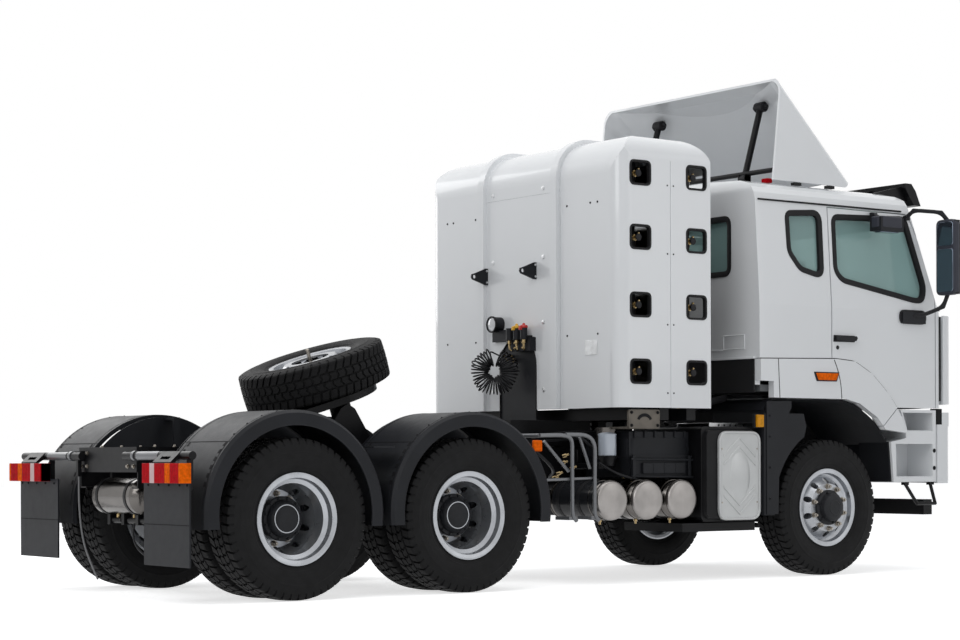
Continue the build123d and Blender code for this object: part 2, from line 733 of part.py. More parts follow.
def deflector_form(inset):
    """The wind deflector's outer form, or its inside when moved in by a wall."""
    spill = 6 if inset else 0
    base_lean = (defl_tip[1] - defl_base) * defl_lean[0] / defl_lean[2]
    corner = front_x + defl_tip[0] - base_lean - 1.4 * inset
    nose = front_x + defl_nose - base_lean - 1.4 * inset
    half = defl_half - inset
    with BuildPart() as form:
        with BuildSketch(Plane.XY.offset(defl_base)) as plan:
            with BuildLine():
                Polyline((corner - 120, -half), (front_x - 700, -half), (front_x - 700, half),
                         (corner - 120, half))
                ThreePointArc((corner - 120, half), (corner - 25, half - 38), (corner + 20, half - 130))
                ThreePointArc((corner + 20, half - 130), (nose, 0), (corner + 20, 130 - half))
                ThreePointArc((corner + 20, 130 - half), (corner - 25, 38 - half), (corner - 120, -half))
            make_face()
        extrude(plan.sketch, amount=1500, dir=defl_lean)
        outline = ((defl_rear[0][0] - spill, defl_rear[0][1] - spill), (290, 3112 - spill),
                   (defl_tip[0] + 20, defl_tip[1] + 6 - spill), (700, 3205 - spill), (700, 3500),
                   (200, 3700 - inset), (-60, 3812 - inset), (-250, 3895 - inset),
                   (defl_rear[1][0] - spill, defl_top - inset))
        side_plate(from_axle(outline), -cab_width / 2, cab_width / 2, mode=Mode.INTERSECT)
    return form.part


deflector_outer = deflector_form(0.0)
deflector_inner = deflector_form(defl_wall)
with BuildPart() as roof_deflector:
    add(deflector_outer)
    add(deflector_inner, mode=Mode.SUBTRACT)
finish(roof_deflector, "roof_deflector")

roof_seat = cab_roof + 2
strut_y = 630.0
visor_outline = ((1006, 3160), (1004, 3198), (1078, 3198), (1130, 3140), (1190, 3020), (1110, 3022),
                 (1052, 3092))
visor_arm = ((690, 3102), (1020, 3176), (1078, 3056), (890, 3062), (800, 3092))
inner_visor_arm = ((780, 3110), (1020, 3176), (1078, 3056), (890, 3062))
visor_half = 1060.0
with BuildPart() as roof_fittings:
    for side in (-1, 1):
        block(front_x - 460, front_x - 340, side * (strut_y - 60), side * (strut_y + 60),
              roof_seat, roof_seat + 14)
        for y in (strut_y - 40, strut_y + 28):
            block(front_x - 440, front_x - 370, side * y, side * (y + 12), roof_seat + 10, roof_seat + 75)
        rod((front_x - 405, side * strut_y, roof_seat + 40),
            (front_x - 205, side * (strut_y - 10), 3795), 26)
        for x in (-250, 120):
            block(front_x + x - 40, front_x + x + 40, side * 1040, side * 1078, 3088, 3110)
        side_plate(from_axle(visor_arm), side * 990, side * 1010)
        side_plate(from_axle(inner_visor_arm), side * 660, side * 680)
    cross_rod(front_x - 405, roof_seat + 80, -strut_y - 330, strut_y + 330, 20)
    side_plate(from_axle(visor_outline), -visor_half, visor_half)
finish(roof_fittings, "roof_fittings")

# ---------------------------------------------------------------- bumper, lamps and steps
bumper_low = 722.0
bumper_high = 1205.0
bumper_back = 1180.0
bumper_wall = 30.0


def bumper_form(inset):
    """The bumper's outer form in plan, or its inside when moved in by its wall."""
    half = cab_half - inset
    nose = front_x + front_overhang - inset
    corner = front_x + 1360 - inset
    with BuildPart() as form:
        with BuildSketch(Plane.XY.offset(bumper_low - inset)) as plan:
            with BuildLine():
                Polyline((corner - 60, -half), (front_x + bumper_back, -half),
                         (front_x + bumper_back, half), (corner - 60, half))
                ThreePointArc((corner - 60, half), (corner, half - 50), (corner + 35, half - 170))
                ThreePointArc((corner + 35, half - 170), (nose, 0), (corner + 35, 170 - half))
                ThreePointArc((corner + 35, 170 - half), (corner, 50 - half), (corner - 60, -half))
            make_face()
        extrude(plan.sketch, amount=bumper_high - bumper_low)
    return form.part


lamp_low = 880.0
lamp_high = 1060.0
lamp_y = (700.0, 1130.0)
intake_rows = (770.0, 850.0, 1080.0)
with BuildPart() as bumper:
    add(bumper_form(0.0))
    add(bumper_form(bumper_wall), mode=Mode.SUBTRACT)
    block(front_x + bumper_back - 10, front_x + bumper_back + bumper_wall + 10, -cab_half + bumper_wall,
          cab_half - bumper_wall, bumper_low - 10, bumper_high - bumper_wall, mode=Mode.SUBTRACT)
    for side in (-1, 1):
        block(front_x + 1300, front_x + 1600, side * lamp_y[0], side * lamp_y[1], lamp_low, lamp_high,
              mode=Mode.SUBTRACT)
        block(rail_front, front_x + 1468, side * 360, side * 410, 800, 900)
    for z in intake_rows:
        block(front_x + 1400, front_x + 1600, -480, 480, z, z + 55, mode=Mode.SUBTRACT)
finish(bumper, "bumper")

tail_lamp_y = (760.0, 1270.0)
tail_lamp_z = (785.0, 910.0)
tail_lamp_depth = 70.0
with BuildPart() as lamps:
    add(bumper_form(4.0))
    block(front_x + 1330, front_x + 1600, -1130, 1130, lamp_low + 4, lamp_high - 4,
          mode=Mode.INTERSECT)
    block(front_x + 1330, front_x + 1600, -lamp_y[0] - 4, lamp_y[0] + 4, lamp_low, lamp_high,
          mode=Mode.SUBTRACT)
    for side in (-1, 1):
        block(front_x + 1200, front_x + 1600, side * (lamp_y[1] - 4), side * 1300, lamp_low, lamp_high,
              mode=Mode.SUBTRACT)
        block(tail_x, tail_x + tail_lamp_depth, side * tail_lamp_y[0], side * tail_lamp_y[1],
              tail_lamp_z[0], tail_lamp_z[1])
finish(lamps, "lamps")

step_outer = cab_half - 10
step_inner = 900.0
step_outline = ((668, 735), (636, 1062), (815, 1092), (812, 1140), (752, 1322), (1170, 1322),
                (1170, 735))
upper_pocket = ((775, 1300), (832, 1150), (1130, 1150), (1130, 1300))
lower_pocket = ((692, 1045), (702, 775), (1130, 775), (1130, 1045))
fender_web = ((700, 1290), (790, 1290), (850, 1150), (760, 1150))


def fender_tip(side):
    """The surround's lower front end, which stays on the frame when the cab tilts."""
    with BuildPart() as tip:
        add(fender_form(side))
        side_plate(fender_cut(6), side * (cab_half - 150), side * (cab_half + 40),
                   mode=Mode.INTERSECT)
    return tip.part


with BuildPart() as steps:
    for side in (-1, 1):
        add(fender_tip(side))
        side_plate(from_axle(fender_web), side * (cab_half - 44), side * (cab_half - 30))
        side_plate(from_axle(step_outline), side * step_inner, side * step_outer)
        side_plate(from_axle(upper_pocket), side * (step_inner + 60), side * (step_outer + 5),
                   mode=Mode.SUBTRACT)
        side_plate(from_axle(lower_pocket), side * (step_inner + 60), side * (step_outer + 5),
                   mode=Mode.SUBTRACT)
        block(front_x + 700, front_x + 1080, side * frame_half, side * (step_inner + 5), 800, 860)
finish(steps, "steps")

with BuildPart() as fold_steps:
    for side in (-1, 1):
        hang = [(front_x + 850, side * 1190, 718), (front_x + 990, side * 1190, 558),
                (front_x + 1210, side * 1190, 556), (front_x + 1150, side * 1190, 718)]
        for start, end in zip(hang, hang[1:]):
            rod(start, end, 14)
        for point in hang[1:-1]:
            with Locations(point):
                Sphere(14)
        for x in (850, 1150):
            block(front_x + x - 25, front_x + x + 25, side * 1170, side * 1210, 710, 735)
finish(fold_steps, "fold_steps")

# ---------------------------------------------------------------- mudguards
guard_radius = 690.0
guard_centre_z = 570.0
guard_low = 485.0
guard_inner_y = 640.0
guard_outer_y = 1250.0
guard_skin = 8.0
guard_lip = 100.0


def guard_arch(centre_x, side):
    """Half-round mudguard over twin wheels, with a deep outer lip and a small inner one."""
    wide = guard_outer_y - guard_inner_y
    with BuildPart() as arch:
        turned(centre_x, side * guard_inner_y, guard_centre_z, side, (
            (0, guard_radius),
            (wide - 20, guard_radius),
            (wide, guard_radius - 20),
            (wide, guard_radius - guard_lip),
            (wide - guard_skin, guard_radius - guard_lip),
            (wide - guard_skin, guard_radius - 24),
            (wide - 24, guard_radius - guard_skin),
            (guard_skin, guard_radius - guard_skin),
            (guard_skin, guard_radius - 30),
            (0, guard_radius - 30),
        ))
        block(centre_x - 800, centre_x + 800, -1400, 1400, guard_low, 1400, mode=Mode.INTERSECT)
    return arch.part


front_guard_outline = ((-757, 490), (-757, 1280), (-330, 1280), (-300, 1180), (-500, 490))
with BuildPart() as mudguards:
    for side in (-1, 1):
        add(guard_arch(rear1_x + 15, side))
        add(guard_arch(rear2_x - 25, side))
        block(tandem_x - 90, tandem_x + 80, side * 700, side * 1200, 1010, 1022)
        for axle_x in (rear1_x, rear2_x):
            block(axle_x - 25, axle_x + 25, side * frame_half, side * (guard_inner_y + 20),
                  1218, 1238)
            block(axle_x - 25, axle_x + 25, side * frame_half, side * (frame_half + 20), 940, 1238)
        side_plate(from_axle(front_guard_outline), side * 880, side * 1215)
        turned(front_x, side * 800, axle_z, side, ((0, 0), (0, 645), (500, 645), (500, 0)),
               mode=Mode.SUBTRACT)
        block(front_x - 757, front_x - 700, side * frame_half, side * 890, 1000, 1060)
finish(mudguards, "mudguards")

flap_x = tail_x + 70
with BuildPart() as mud_flaps:
    for side in (-1, 1):
        block(flap_x, flap_x + 12, side * guard_inner_y, side * guard_outer_y, 245, 800)
finish(mud_flaps, "mud_flaps")

strap_top = 820.0
bar_x = tail_x + 100
bar_z = 960.0
bar_radius = 28.0
lamp_shelf = ((tail_x + 12, tail_lamp_z[1]), (tail_x + 30, tail_lamp_z[1]), (bar_x, bar_z - 5),
              (bar_x, bar_z + bar_radius), (bar_x - 14, bar_z + bar_radius),
              (tail_x + 12, tail_lamp_z[1] + 10))
with BuildPart() as tail_bar:
    for side in (-1, 1):
        cross_rod(bar_x, bar_z, side * 320, side * 1240, bar_radius)
        block(bar_x - 5, rail_rear - 10, side * 340, side * 425, bar_z - 35, bar_z + 35)
        block(flap_x + 12, flap_x + 40, side * 700, side * 1230, 740, 800)
        for y in (800, 1200):
            block(flap_x + 16, bar_x + 20, side * y - 12, side * y + 12, 790, bar_z)
            block(tail_x + tail_lamp_depth, flap_x + 20, side * y - 12, side * y + 12, 805, 890)
        side_plate(lamp_shelf, side * 870, side * 1110)
        block(tail_x + 30, tail_x + 78, side * 930, side * 1050, tail_lamp_z[1] + 8, bar_z - 5,
              mode=Mode.SUBTRACT)
    block(bar_x - 14, bar_x + 14, 355, 383, strap_top, bar_z)
finish(tail_bar, "tail_bar")

# ---------------------------------------------------------------- side equipment
tank_radius = 145.0
tank_length = 620.0
side_tank_x = (-2210.0, -1862.0, -1520.0)
side_tank_z = 625.0
side_tank_outer = 1120.0
rear_tank_radius = 125.0


def dished_tank(x, y0, y1, z, radius):
    """An air tank along Y with dished ends."""
    middle = (y0 + y1) / 2
    half = abs(y1 - y0) / 2
    dish = 0.48 * radius
    boss = 0.12 * radius
    with BuildSketch(Plane(origin=(x, middle, z), x_dir=(0, 1, 0), z_dir=(1, 0, 0))) as section:
        with BuildLine():
            Polyline((-half, boss), (-half, 0), (half, 0), (half, boss))
            ThreePointArc((half, boss), (half - dish * 0.27, radius * 0.7), (half - dish, radius))
            Line((half - dish, radius), (dish - half, radius))
            ThreePointArc((dish - half, radius), (dish * 0.27 - half, radius * 0.7), (-half, boss))
        make_face()
    revolve(section.sketch, axis=Axis((x, middle, z), (0, 1, 0)))


with BuildPart() as air_tanks:
    for tank_x in side_tank_x:
        dished_tank(front_x + tank_x, -side_tank_outer, tank_length - side_tank_outer, side_tank_z,
                    tank_radius)
    dished_tank(front_x - 5600, -330, 330, 685, rear_tank_radius)
    with Locations((front_x - 2050, -860, 1050)):
        Cylinder(85, 230)
finish(air_tanks, "air_tanks")

with BuildPart() as side_boxes:
    block(front_x - 1950, front_x - 1355, -1010, -500, 790, 1135)
    block(front_x - 1920, front_x - 1385, -1025, -990, 790, 960)
    block(front_x - 2350, front_x - 1500, 500, 1150, 520, 1080)
    block(front_x - 1400, front_x - 790, 500, 1150, 470, 1090)
finish(side_boxes, "side_boxes")

silencer_front = -765.0
silencer_rear = -1345.0
with BuildPart() as silencer:
    block(front_x + silencer_rear, front_x + silencer_front, -1140, -500, 450, 1175)
    fillet(silencer.edges().filter_by(Axis.Y), 45)
    with BuildSketch(Plane.XZ.offset(1140)) as panel:
        with Locations((front_x + (silencer_front + silencer_rear) / 2, 812)):
            RectangleRounded(540, 690, 60)
    extrude(panel.sketch, amount=30, taper=20)
finish(silencer, "silencer")

with BuildPart() as side_brackets:
    for tank_x in side_tank_x:
        block(front_x + tank_x - 20, front_x + tank_x + 20, -950, -frame_half,
              side_tank_z + tank_radius, side_tank_z + tank_radius + 14)
    block(front_x - 1500, front_x - 750, -1100, -frame_half, 375, 440)
    block(front_x - 1180, front_x - 1060, -frame_half - 60, -frame_half, 440, 800)
    block(front_x - 2330, front_x - 800, frame_half, 480, 600, 900)
finish(side_brackets, "side_brackets")

# ---------------------------------------------------------------- gas cylinder rack
rack_half = rack_width / 2
rack_seam = rack_centre_width / 2


def rack_profile(inset, y, low):
    """The housing's outline from the side, its roof rolled over at the rear and at the front."""
    top = rack_top - inset
    front, rear = front_x + rack_front - inset, front_x + rack_rear + inset
    rear_roll, front_roll = rack_roll_rear - inset, rack_roll_front - inset
    with BuildSketch(Plane.XZ.offset(-y)) as profile:
        with BuildLine():
            Polyline((rear, top - rear_roll), (rear, low), (front, low), (front, top - front_roll))
            RadiusArc((front, top - front_roll), (front - front_roll, top), -front_roll)
            Line((front - front_roll, top), (rear + rear_roll, top))
            RadiusArc((rear + rear_roll, top), (rear, top - rear_roll), -rear_roll)
        make_face()
    return profile.sketch


def rack_form(inset):
    """The rack housing's outer form, or its inside when moved in by its wall."""
    half = rack_half - inset
    low, top = rack_bottom, rack_top - inset
    front, rear = front_x + rack_front - inset, front_x + rack_rear + inset
    crown = rack_crown - inset
    corner = rack_corner - inset / 2
    with BuildPart() as form:
        with BuildSketch(Plane.YZ.offset(rear)) as outline:
            with BuildLine():
                Polyline((-half, top - crown), (-half, low), (half, low), (half, top - crown))
                RadiusArc((half, top - crown), (half - crown, top), -crown)
                Line((half - crown, top), (crown - half, top))
                RadiusArc((crown - half, top), (-half, top - crown), -crown)
            make_face()
        extrude(outline.sketch, amount=front - rear)
        with BuildSketch(Plane.XY.offset(low - 50)) as plan:
            with Locations(((front + rear) / 2 + 300, 0)):
                RectangleRounded(front - rear + 600, 2 * half, corner)
        extrude(plan.sketch, amount=2200, mode=Mode.INTERSECT)
        extrude(rack_profile(inset, rack_half + 50, low - 50), amount=rack_width + 100,
                mode=Mode.INTERSECT)
    return form.part


def rack_rib(middle):
    """A raised band up the housing's rear and over its roof."""
    with BuildPart() as rib:
        extrude(rack_profile(-rib_height, middle + rib_width / 2, rack_bottom), amount=rib_width)
        extrude(rack_profile(rack_wall / 2, middle + rib_width, rack_bottom - 50),
                amount=2 * rib_width, mode=Mode.SUBTRACT)
        block(front_x + rack_front - 60, front_x + rack_front + 100, -rack_half, rack_half,
              rack_bottom, rack_top + 100, mode=Mode.SUBTRACT)
    return rib.part


coupling_y = 20.0
coupling_spring = 1650.0
coupling_half = 226.0
recess_gap = 4.0


def arched_form(half, low, start, depth):
    """A plate across the rear whose top is a half circle."""
    with BuildPart() as form:
        with BuildSketch(Plane.YZ.offset(start)) as outline:
            with BuildLine():
                Polyline((coupling_y - half, coupling_spring), (coupling_y - half, low),
                         (coupling_y + half, low), (coupling_y + half, coupling_spring))
                ThreePointArc((coupling_y + half, coupling_spring), (coupling_y, coupling_spring + half),
                              (coupling_y - half, coupling_spring))
            make_face()
        extrude(outline.sketch, amount=depth)
    return form.part


rib_height = 35.0
rib_width = 76.0
rib_middle = rack_seam - 45
groove = 3.0
rack_outer = rack_form(0.0)
rack_inner = rack_form(rack_wall)
window_size = (190.0, 170.0)
with BuildPart() as rack_shell:
    add(rack_outer)
    add(rack_inner, mode=Mode.SUBTRACT)
    block(front_x + rack_front - rack_wall - 1, front_x + rack_front + 10, -1300, 1300, rack_bottom,
          rack_top, mode=Mode.SUBTRACT)
    block(front_x + rack_rear + rack_wall, front_x + rack_front, -1160, 1160, rack_bottom - 10,
          rack_bottom + rack_wall, mode=Mode.SUBTRACT)
    for side in (-1, 1):
        block(front_x + rack_rear - 10, front_x + rack_front + 10, side * (rack_seam - 3),
              side * (rack_seam + 3), rack_bottom - 10, rack_top + 10, mode=Mode.SUBTRACT)
    with BuildSketch(Plane.XZ.offset(-1300)) as windows:
        for z in cylinder_rows:
            with Locations((front_x + cylinder_columns[0], z), (front_x + -1440, z)):
                RectangleRounded(*window_size, 35)
    extrude(windows.sketch, amount=2600, mode=Mode.SUBTRACT)
    add(arched_form(coupling_half + recess_gap, rack_bottom - 10, front_x + rack_rear - 10,
                    rack_wall + 20), mode=Mode.SUBTRACT)
    block(front_x + rack_rear - 1, front_x + rack_rear + 5, groove - rack_seam, rack_seam - groove,
          rack_cap_seam - groove, rack_cap_seam + groove, mode=Mode.SUBTRACT)
    for side in (-1, 1):
        block(front_x + rack_side_seam - groove, front_x + rack_side_seam + groove,
              side * (rack_half - 5), side * (rack_half + 1), rack_bottom - 1, rack_top - rack_crown - 8,
              mode=Mode.SUBTRACT)
    for side in (-1, 1):
        add(rack_rib(side * rib_middle))

# The seams part the housing into a left, a rear and a right piece; the right mirrors the left.
with BuildPart() as rear_panel:
    add(rack_shell.part)
    block(front_x + rack_rear - 100, front_x, -rack_seam, rack_seam, rack_bottom - 100,
          rack_top + 100, mode=Mode.INTERSECT)
with BuildPart() as left_panel:
    add(rack_shell.part)
    block(front_x + rack_rear - 100, front_x, rack_seam, rack_half + 100, rack_bottom - 100,
          rack_top + 100, mode=Mode.INTERSECT)
with BuildPart() as rack_panels:
    add(rear_panel.part)
    add(left_panel.part)
    mirror(left_panel.part, about=Plane.XZ)
finish(rack_panels, "rack_panels")

cylinder_end = 1120.0
neck_radius = 28.0
with BuildPart() as gas_cylinders:
    for x in cylinder_columns:
        for z in cylinder_rows:
            dished_tank(front_x + x, -1040, 1040, z, cylinder_radius)
            cross_rod(front_x + x, z, -cylinder_end, cylinder_end, neck_radius)
finish(gas_cylinders, "gas_cylinders")

rack_beam = 90.0
with BuildPart() as rack_frame:
    for x in (cylinder_columns[0], -1725.0, cylinder_columns[1]):
        block(front_x + x - 45, front_x + x + 45, -1150, 1150, rack_bottom - rack_beam, rack_bottom)
        for side in (-1, 1):
            block(front_x + x - 40, front_x + x + 40, side * (frame_half - 70), side * frame_half,
                  frame_top, rack_bottom - rack_beam)
    for side in (-1, 1):
        block(front_x - 2140, front_x - 1310, side * (frame_half - 70), side * frame_half,
              frame_top, frame_top + 60)
        for x in cylinder_columns:
            block(front_x + x - 40, front_x + x + 40, side * 1070, side * 1090, rack_bottom, 3150)
            for z in cylinder_rows:
                cross_rod(front_x + x, z, side * 1060, side * 1100, neck_radius + bearing_clearance,
                          mode=Mode.SUBTRACT)
finish(rack_frame, "rack_frame")

# ---------------------------------------------------------------- fifth wheel and spare
pivot_x = tandem_x + fifth_wheel_ahead
tilt = radians(fifth_wheel_tilt)
plate_up = Vector(-sin(tilt), 0, cos(tilt))
plate_fore = Vector(cos(tilt), 0, sin(tilt))
pivot = Vector(pivot_x, 0, fifth_wheel_pivot)
plate_rise = fifth_wheel_top - fifth_wheel_pivot
plate_thick = 50.0
plate_half = 460.0
trunnion_y = 330.0
trunnion_radius = 25.0


def plate_plane(height):
    """A plane parallel to the coupling plate, at a height above its pivot."""
    return Plane(origin=pivot + plate_up * height, x_dir=plate_fore, z_dir=plate_up)


with BuildPart() as fifth_wheel_base:
    block(pivot_x - 420, pivot_x + 420, -frame_half - 20, frame_half + 20, frame_top, frame_top + 14)
    for side in (-1, 1):
        bracket = ((pivot_x - 230, frame_top + 10), (pivot_x - 60, fifth_wheel_pivot + 10),
                   (pivot_x, fifth_wheel_pivot + 45), (pivot_x + 60, fifth_wheel_pivot + 10),
                   (pivot_x + 230, frame_top + 10))
        side_plate(bracket, side * (trunnion_y + 8), side * (trunnion_y + 68))
    cross_rod(pivot_x, fifth_wheel_pivot, -trunnion_y - 68, trunnion_y + 68,
              trunnion_radius + bearing_clearance, mode=Mode.SUBTRACT)
    for side in (-1, 1):
        block(pivot_x - 350, pivot_x - 250, side * 345, side * 425, frame_top + 10, frame_top + 50)
finish(fifth_wheel_base, "fifth_wheel_base")

with BuildPart() as fifth_wheel_plate:
    with BuildSketch(plate_plane(plate_rise - plate_thick)) as plate:
        with BuildLine():
            ThreePointArc((0, plate_half), (330, 320), (440, 0))
            ThreePointArc((440, 0), (330, -320), (0, -plate_half))
            Polyline((0, -plate_half), (-330, -400), (-520, -300), (-520, -190), (-150, -50), (-60, -50),
                     (-60, 50), (-150, 50), (-520, 190), (-520, 300), (-330, 400), (0, plate_half))
        make_face()
        Circle(kingpin_throat, mode=Mode.SUBTRACT)
    extrude(plate.sketch, amount=plate_thick)
    for side in (-1, 1):
        cross_rod(pivot_x, fifth_wheel_pivot, side * (trunnion_y - 40), side * (trunnion_y + 68),
                  trunnion_radius)
        with BuildSketch(plate_plane(-45)) as lug:
            with Locations((0, side * (trunnion_y - 25))):
                Rectangle(150, 50)
        extrude(lug.sketch, amount=plate_rise - plate_thick + 50)
finish(fifth_wheel_plate, "fifth_wheel_plate")

spare_rise = plate_rise + tyre_width / 2 + 0.4
spare_ahead = 50.0
spare_centre = pivot + plate_up * spare_rise + plate_fore * spare_ahead
with BuildPart() as spare_tyre:
    spun(spare_centre, plate_up, tyre_section)
finish(spare_tyre, "spare_tyre")

with BuildPart() as spare_rim:
    barrel_about(spare_centre, plate_up)
    spun(spare_centre, plate_up, (
        (front_disc_face - 10, 140),
        (front_disc_face - 10, 195),
        (70, 244),
        (50, 244),
        (front_disc_face - 24, 190),
        (front_disc_face - 24, 140),
    ))
    with BuildSketch(Plane(origin=spare_centre, x_dir=plate_fore, z_dir=plate_up)) as holes:
        with PolarLocations(210, 10):
            Circle(22)
    extrude(holes.sketch, amount=150, mode=Mode.SUBTRACT)
finish(spare_rim, "spare_rim")

# ---------------------------------------------------------------- trailer couplings and cords
panel_x = front_x + rack_rear
stub_end = panel_x - 106
stub_places = ((95.0, 1732.0), (55.0, 1700.0))
hook_places = ((414.0, 2374.0), (-209.0, 2379.0))
with BuildPart() as trailer_couplings:
    add(arched_form(coupling_half, rack_bottom - 80, panel_x + 3, 12))
    block(panel_x - 60, panel_x, -205, 20, 1765, 1870)
    block(panel_x - 10, panel_x + 5, -100, 15, 1775, 1810)
    for y, z in stub_places:
        rod((stub_end, y, z), (panel_x + 5, y, z), 11)
    for y in (-150.0, -60.0, 30.0):
        with Locations((panel_x - 75, y, 1900)):
            Cylinder(28, 90)
    with Locations(Location((panel_x - 40, 249, 1986), (0, 90, 0))):
        Cylinder(60, 80)
    block(panel_x - 40, panel_x, -60, 300, 1850, 1940)
    for y, z in hook_places:
        hook = ((panel_x, z + 65), (panel_x, z - 65), (panel_x - 24, z - 65), (panel_x - 150, z - 26),
                (panel_x - 162, z - 8), (panel_x - 155, z + 16), (panel_x - 132, z + 22),
                (panel_x - 20, z + 65))
        side_plate(hook, y - 7, y + 7)
        cross_rod(panel_x - 132, z - 3, y - 8, y + 8, 15, mode=Mode.SUBTRACT)
finish(trailer_couplings, "trailer_couplings")

coil_centre = Vector(panel_x - 172, 97, 1612)
with BuildPart() as suzi_coil:
    with Locations(Plane(origin=coil_centre, z_dir=(-1, -1, 0))):
        Torus(112, 78)
finish(suzi_coil, "suzi_coil")

# The earth strap hangs free from a collar on the tail bar.
strap_radius = 7.0
strap_route = [(tail_x + 100, 369, strap_top), (tail_x + 99, 371, 705), (tail_x + 97, 356, 585),
               (tail_x + 98, 333, 462), (tail_x + 101, 292, 345), (tail_x + 104, 212, 236),
               (tail_x + 106, 100, 120)]
strap_points = [Vector(*point) for point in strap_route]
strap_bends = []
for before, corner, after in zip(strap_points, strap_points[1:], strap_points[2:]):
    half_turn = radians((corner - before).get_angle(after - corner)) / 2
    shorter = min((corner - before).length, (after - corner).length)
    strap_bends.append(0.45 * shorter / tan(half_turn))
with BuildPart() as earth_strap:
    with BuildLine() as strap_line:
        FilletPolyline(*strap_points, radius=strap_bends)
    with BuildSketch(Plane(origin=strap_points[0], z_dir=strap_points[1] - strap_points[0])):
        Circle(strap_radius)
    sweep(path=strap_line.line)
finish(earth_strap, "earth_strap")
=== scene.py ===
"""Looks of a three-axle tractor unit: finishes, lamps, tyres, hoses and small parts around its frame.

Metres. +X points forward, +Y to the vehicle's left, +Z up, and the wheels stand on z = 0.
"""
import math

import bmesh
import bpy
import numpy as np
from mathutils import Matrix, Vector


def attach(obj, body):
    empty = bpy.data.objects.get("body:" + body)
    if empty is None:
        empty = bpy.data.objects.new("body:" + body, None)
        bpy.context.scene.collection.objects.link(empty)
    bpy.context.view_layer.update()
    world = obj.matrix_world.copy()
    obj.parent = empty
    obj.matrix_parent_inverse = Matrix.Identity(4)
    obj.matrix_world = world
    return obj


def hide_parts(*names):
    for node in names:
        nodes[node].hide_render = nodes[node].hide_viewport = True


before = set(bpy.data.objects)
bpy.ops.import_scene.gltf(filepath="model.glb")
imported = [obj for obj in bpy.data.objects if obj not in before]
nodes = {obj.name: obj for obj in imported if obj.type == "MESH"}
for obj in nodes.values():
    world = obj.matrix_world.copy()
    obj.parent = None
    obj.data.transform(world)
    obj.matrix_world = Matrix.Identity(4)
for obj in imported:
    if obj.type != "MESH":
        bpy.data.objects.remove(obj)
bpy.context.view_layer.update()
scene = bpy.context.scene
FRONT_X = 2.1875
REAR_X = (-1.3875, -2.7875)
AXLE_Z = 0.54

# ------------------------ camera
# A long lens low behind the right rear wheels, held level. Its shift takes in the roof deflector
# without tilting, so upright edges stay upright.
CAMERA_PLACE = (-10.3995, -13.495, 0.931)
CAMERA_YAW = math.radians(53.46)
CAMERA_ROLL = math.radians(0.17)


def add_object(name, data, *materials):
    """Put a new object into the scene."""
    for material in materials:
        data.materials.append(material)
    obj = bpy.data.objects.new(name, data)
    scene.collection.objects.link(obj)
    return obj


camera_data = bpy.data.cameras.new("camera")
camera_data.lens = 82.17
camera_data.sensor_width = 36.0
camera_data.shift_y = 0.145
camera = add_object("camera", camera_data)
camera.location = CAMERA_PLACE
camera.rotation_euler = (math.pi / 2, CAMERA_ROLL, CAMERA_YAW - math.pi / 2)
scene.camera = camera
scene.view_settings.view_transform = "Standard"

# ------------------------ light and floor
# Soft studio light: a large key lamp behind the camera, one over the roof, a weak one on the far
# side, and a pale world that shows as white to the camera, to gloss and through glass.
LAMPS = (
    # name, place, size, power
    ("key", (-11.5, -6.5, 7.5), 7.0, 400.0),
    ("top", (0.0, -1.0, 10.0), 9.0, 400.0),
    ("right", (6.0, -10.0, 5.0), 6.0, 90.0),
    ("left", (-2.0, 11.0, 6.0), 7.0, 300.0),
)
LAMP_TARGET = Vector((0.0, 0.0, 1.4))
for lamp_name, place, size, power in LAMPS:
    lamp_data = bpy.data.lights.new(lamp_name, "AREA")
    lamp_data.energy = power
    lamp_data.size = size
    lamp = add_object(lamp_name, lamp_data)
    lamp.location = place
    lamp.rotation_euler = (LAMP_TARGET - lamp.location).to_track_quat("-Z", "Y").to_euler()


def feed(node, *ordered, **named):
    """Fill a shader node's inputs, by order or by name, each from a value, a socket or a node."""
    slots = list(zip(node.inputs, ordered))
    slots += [(node.inputs[name.replace("_", " ")], source) for name, source in named.items()]
    for slot, source in slots:
        if isinstance(source, bpy.types.Node):
            source = source.outputs[0]
        if isinstance(source, bpy.types.NodeSocket):
            node.id_data.links.new(source, slot)
        else:
            slot.default_value = source
    return node


def new_node(tree, kind, *ordered, **named):
    """A new shader node with its inputs filled."""
    return feed(tree.nodes.new("ShaderNode" + kind), *ordered, **named)


def new_material(name):
    """A material, its node tree and its main shader."""
    material = bpy.data.materials.new(name)
    material.use_nodes = True
    return material, material.node_tree, material.node_tree.nodes["Principled BSDF"]


def seen_directly(tree):
    """1 on rays from the camera, a gloss or through glass, and 0 on rays that light the object."""
    light_path = new_node(tree, "LightPath")
    total = light_path.outputs["Is Camera Ray"]
    for ray in ("Is Glossy Ray", "Is Transmission Ray"):
        total = new_node(tree, "Math", total, light_path.outputs[ray])
        total.operation = "MAXIMUM"
    return total


world = bpy.data.worlds.new("studio")
world.use_nodes = True
scene.world = world
sky = world.node_tree
sky.nodes.clear()
sky_light = new_node(sky, "Background", (0.93, 0.96, 1.0, 1.0), 0.34)
sky_seen = new_node(sky, "Background", (1.0, 1.0, 1.0, 1.0))
new_node(sky, "OutputWorld", new_node(sky, "MixShader", seen_directly(sky), sky_light, sky_seen))

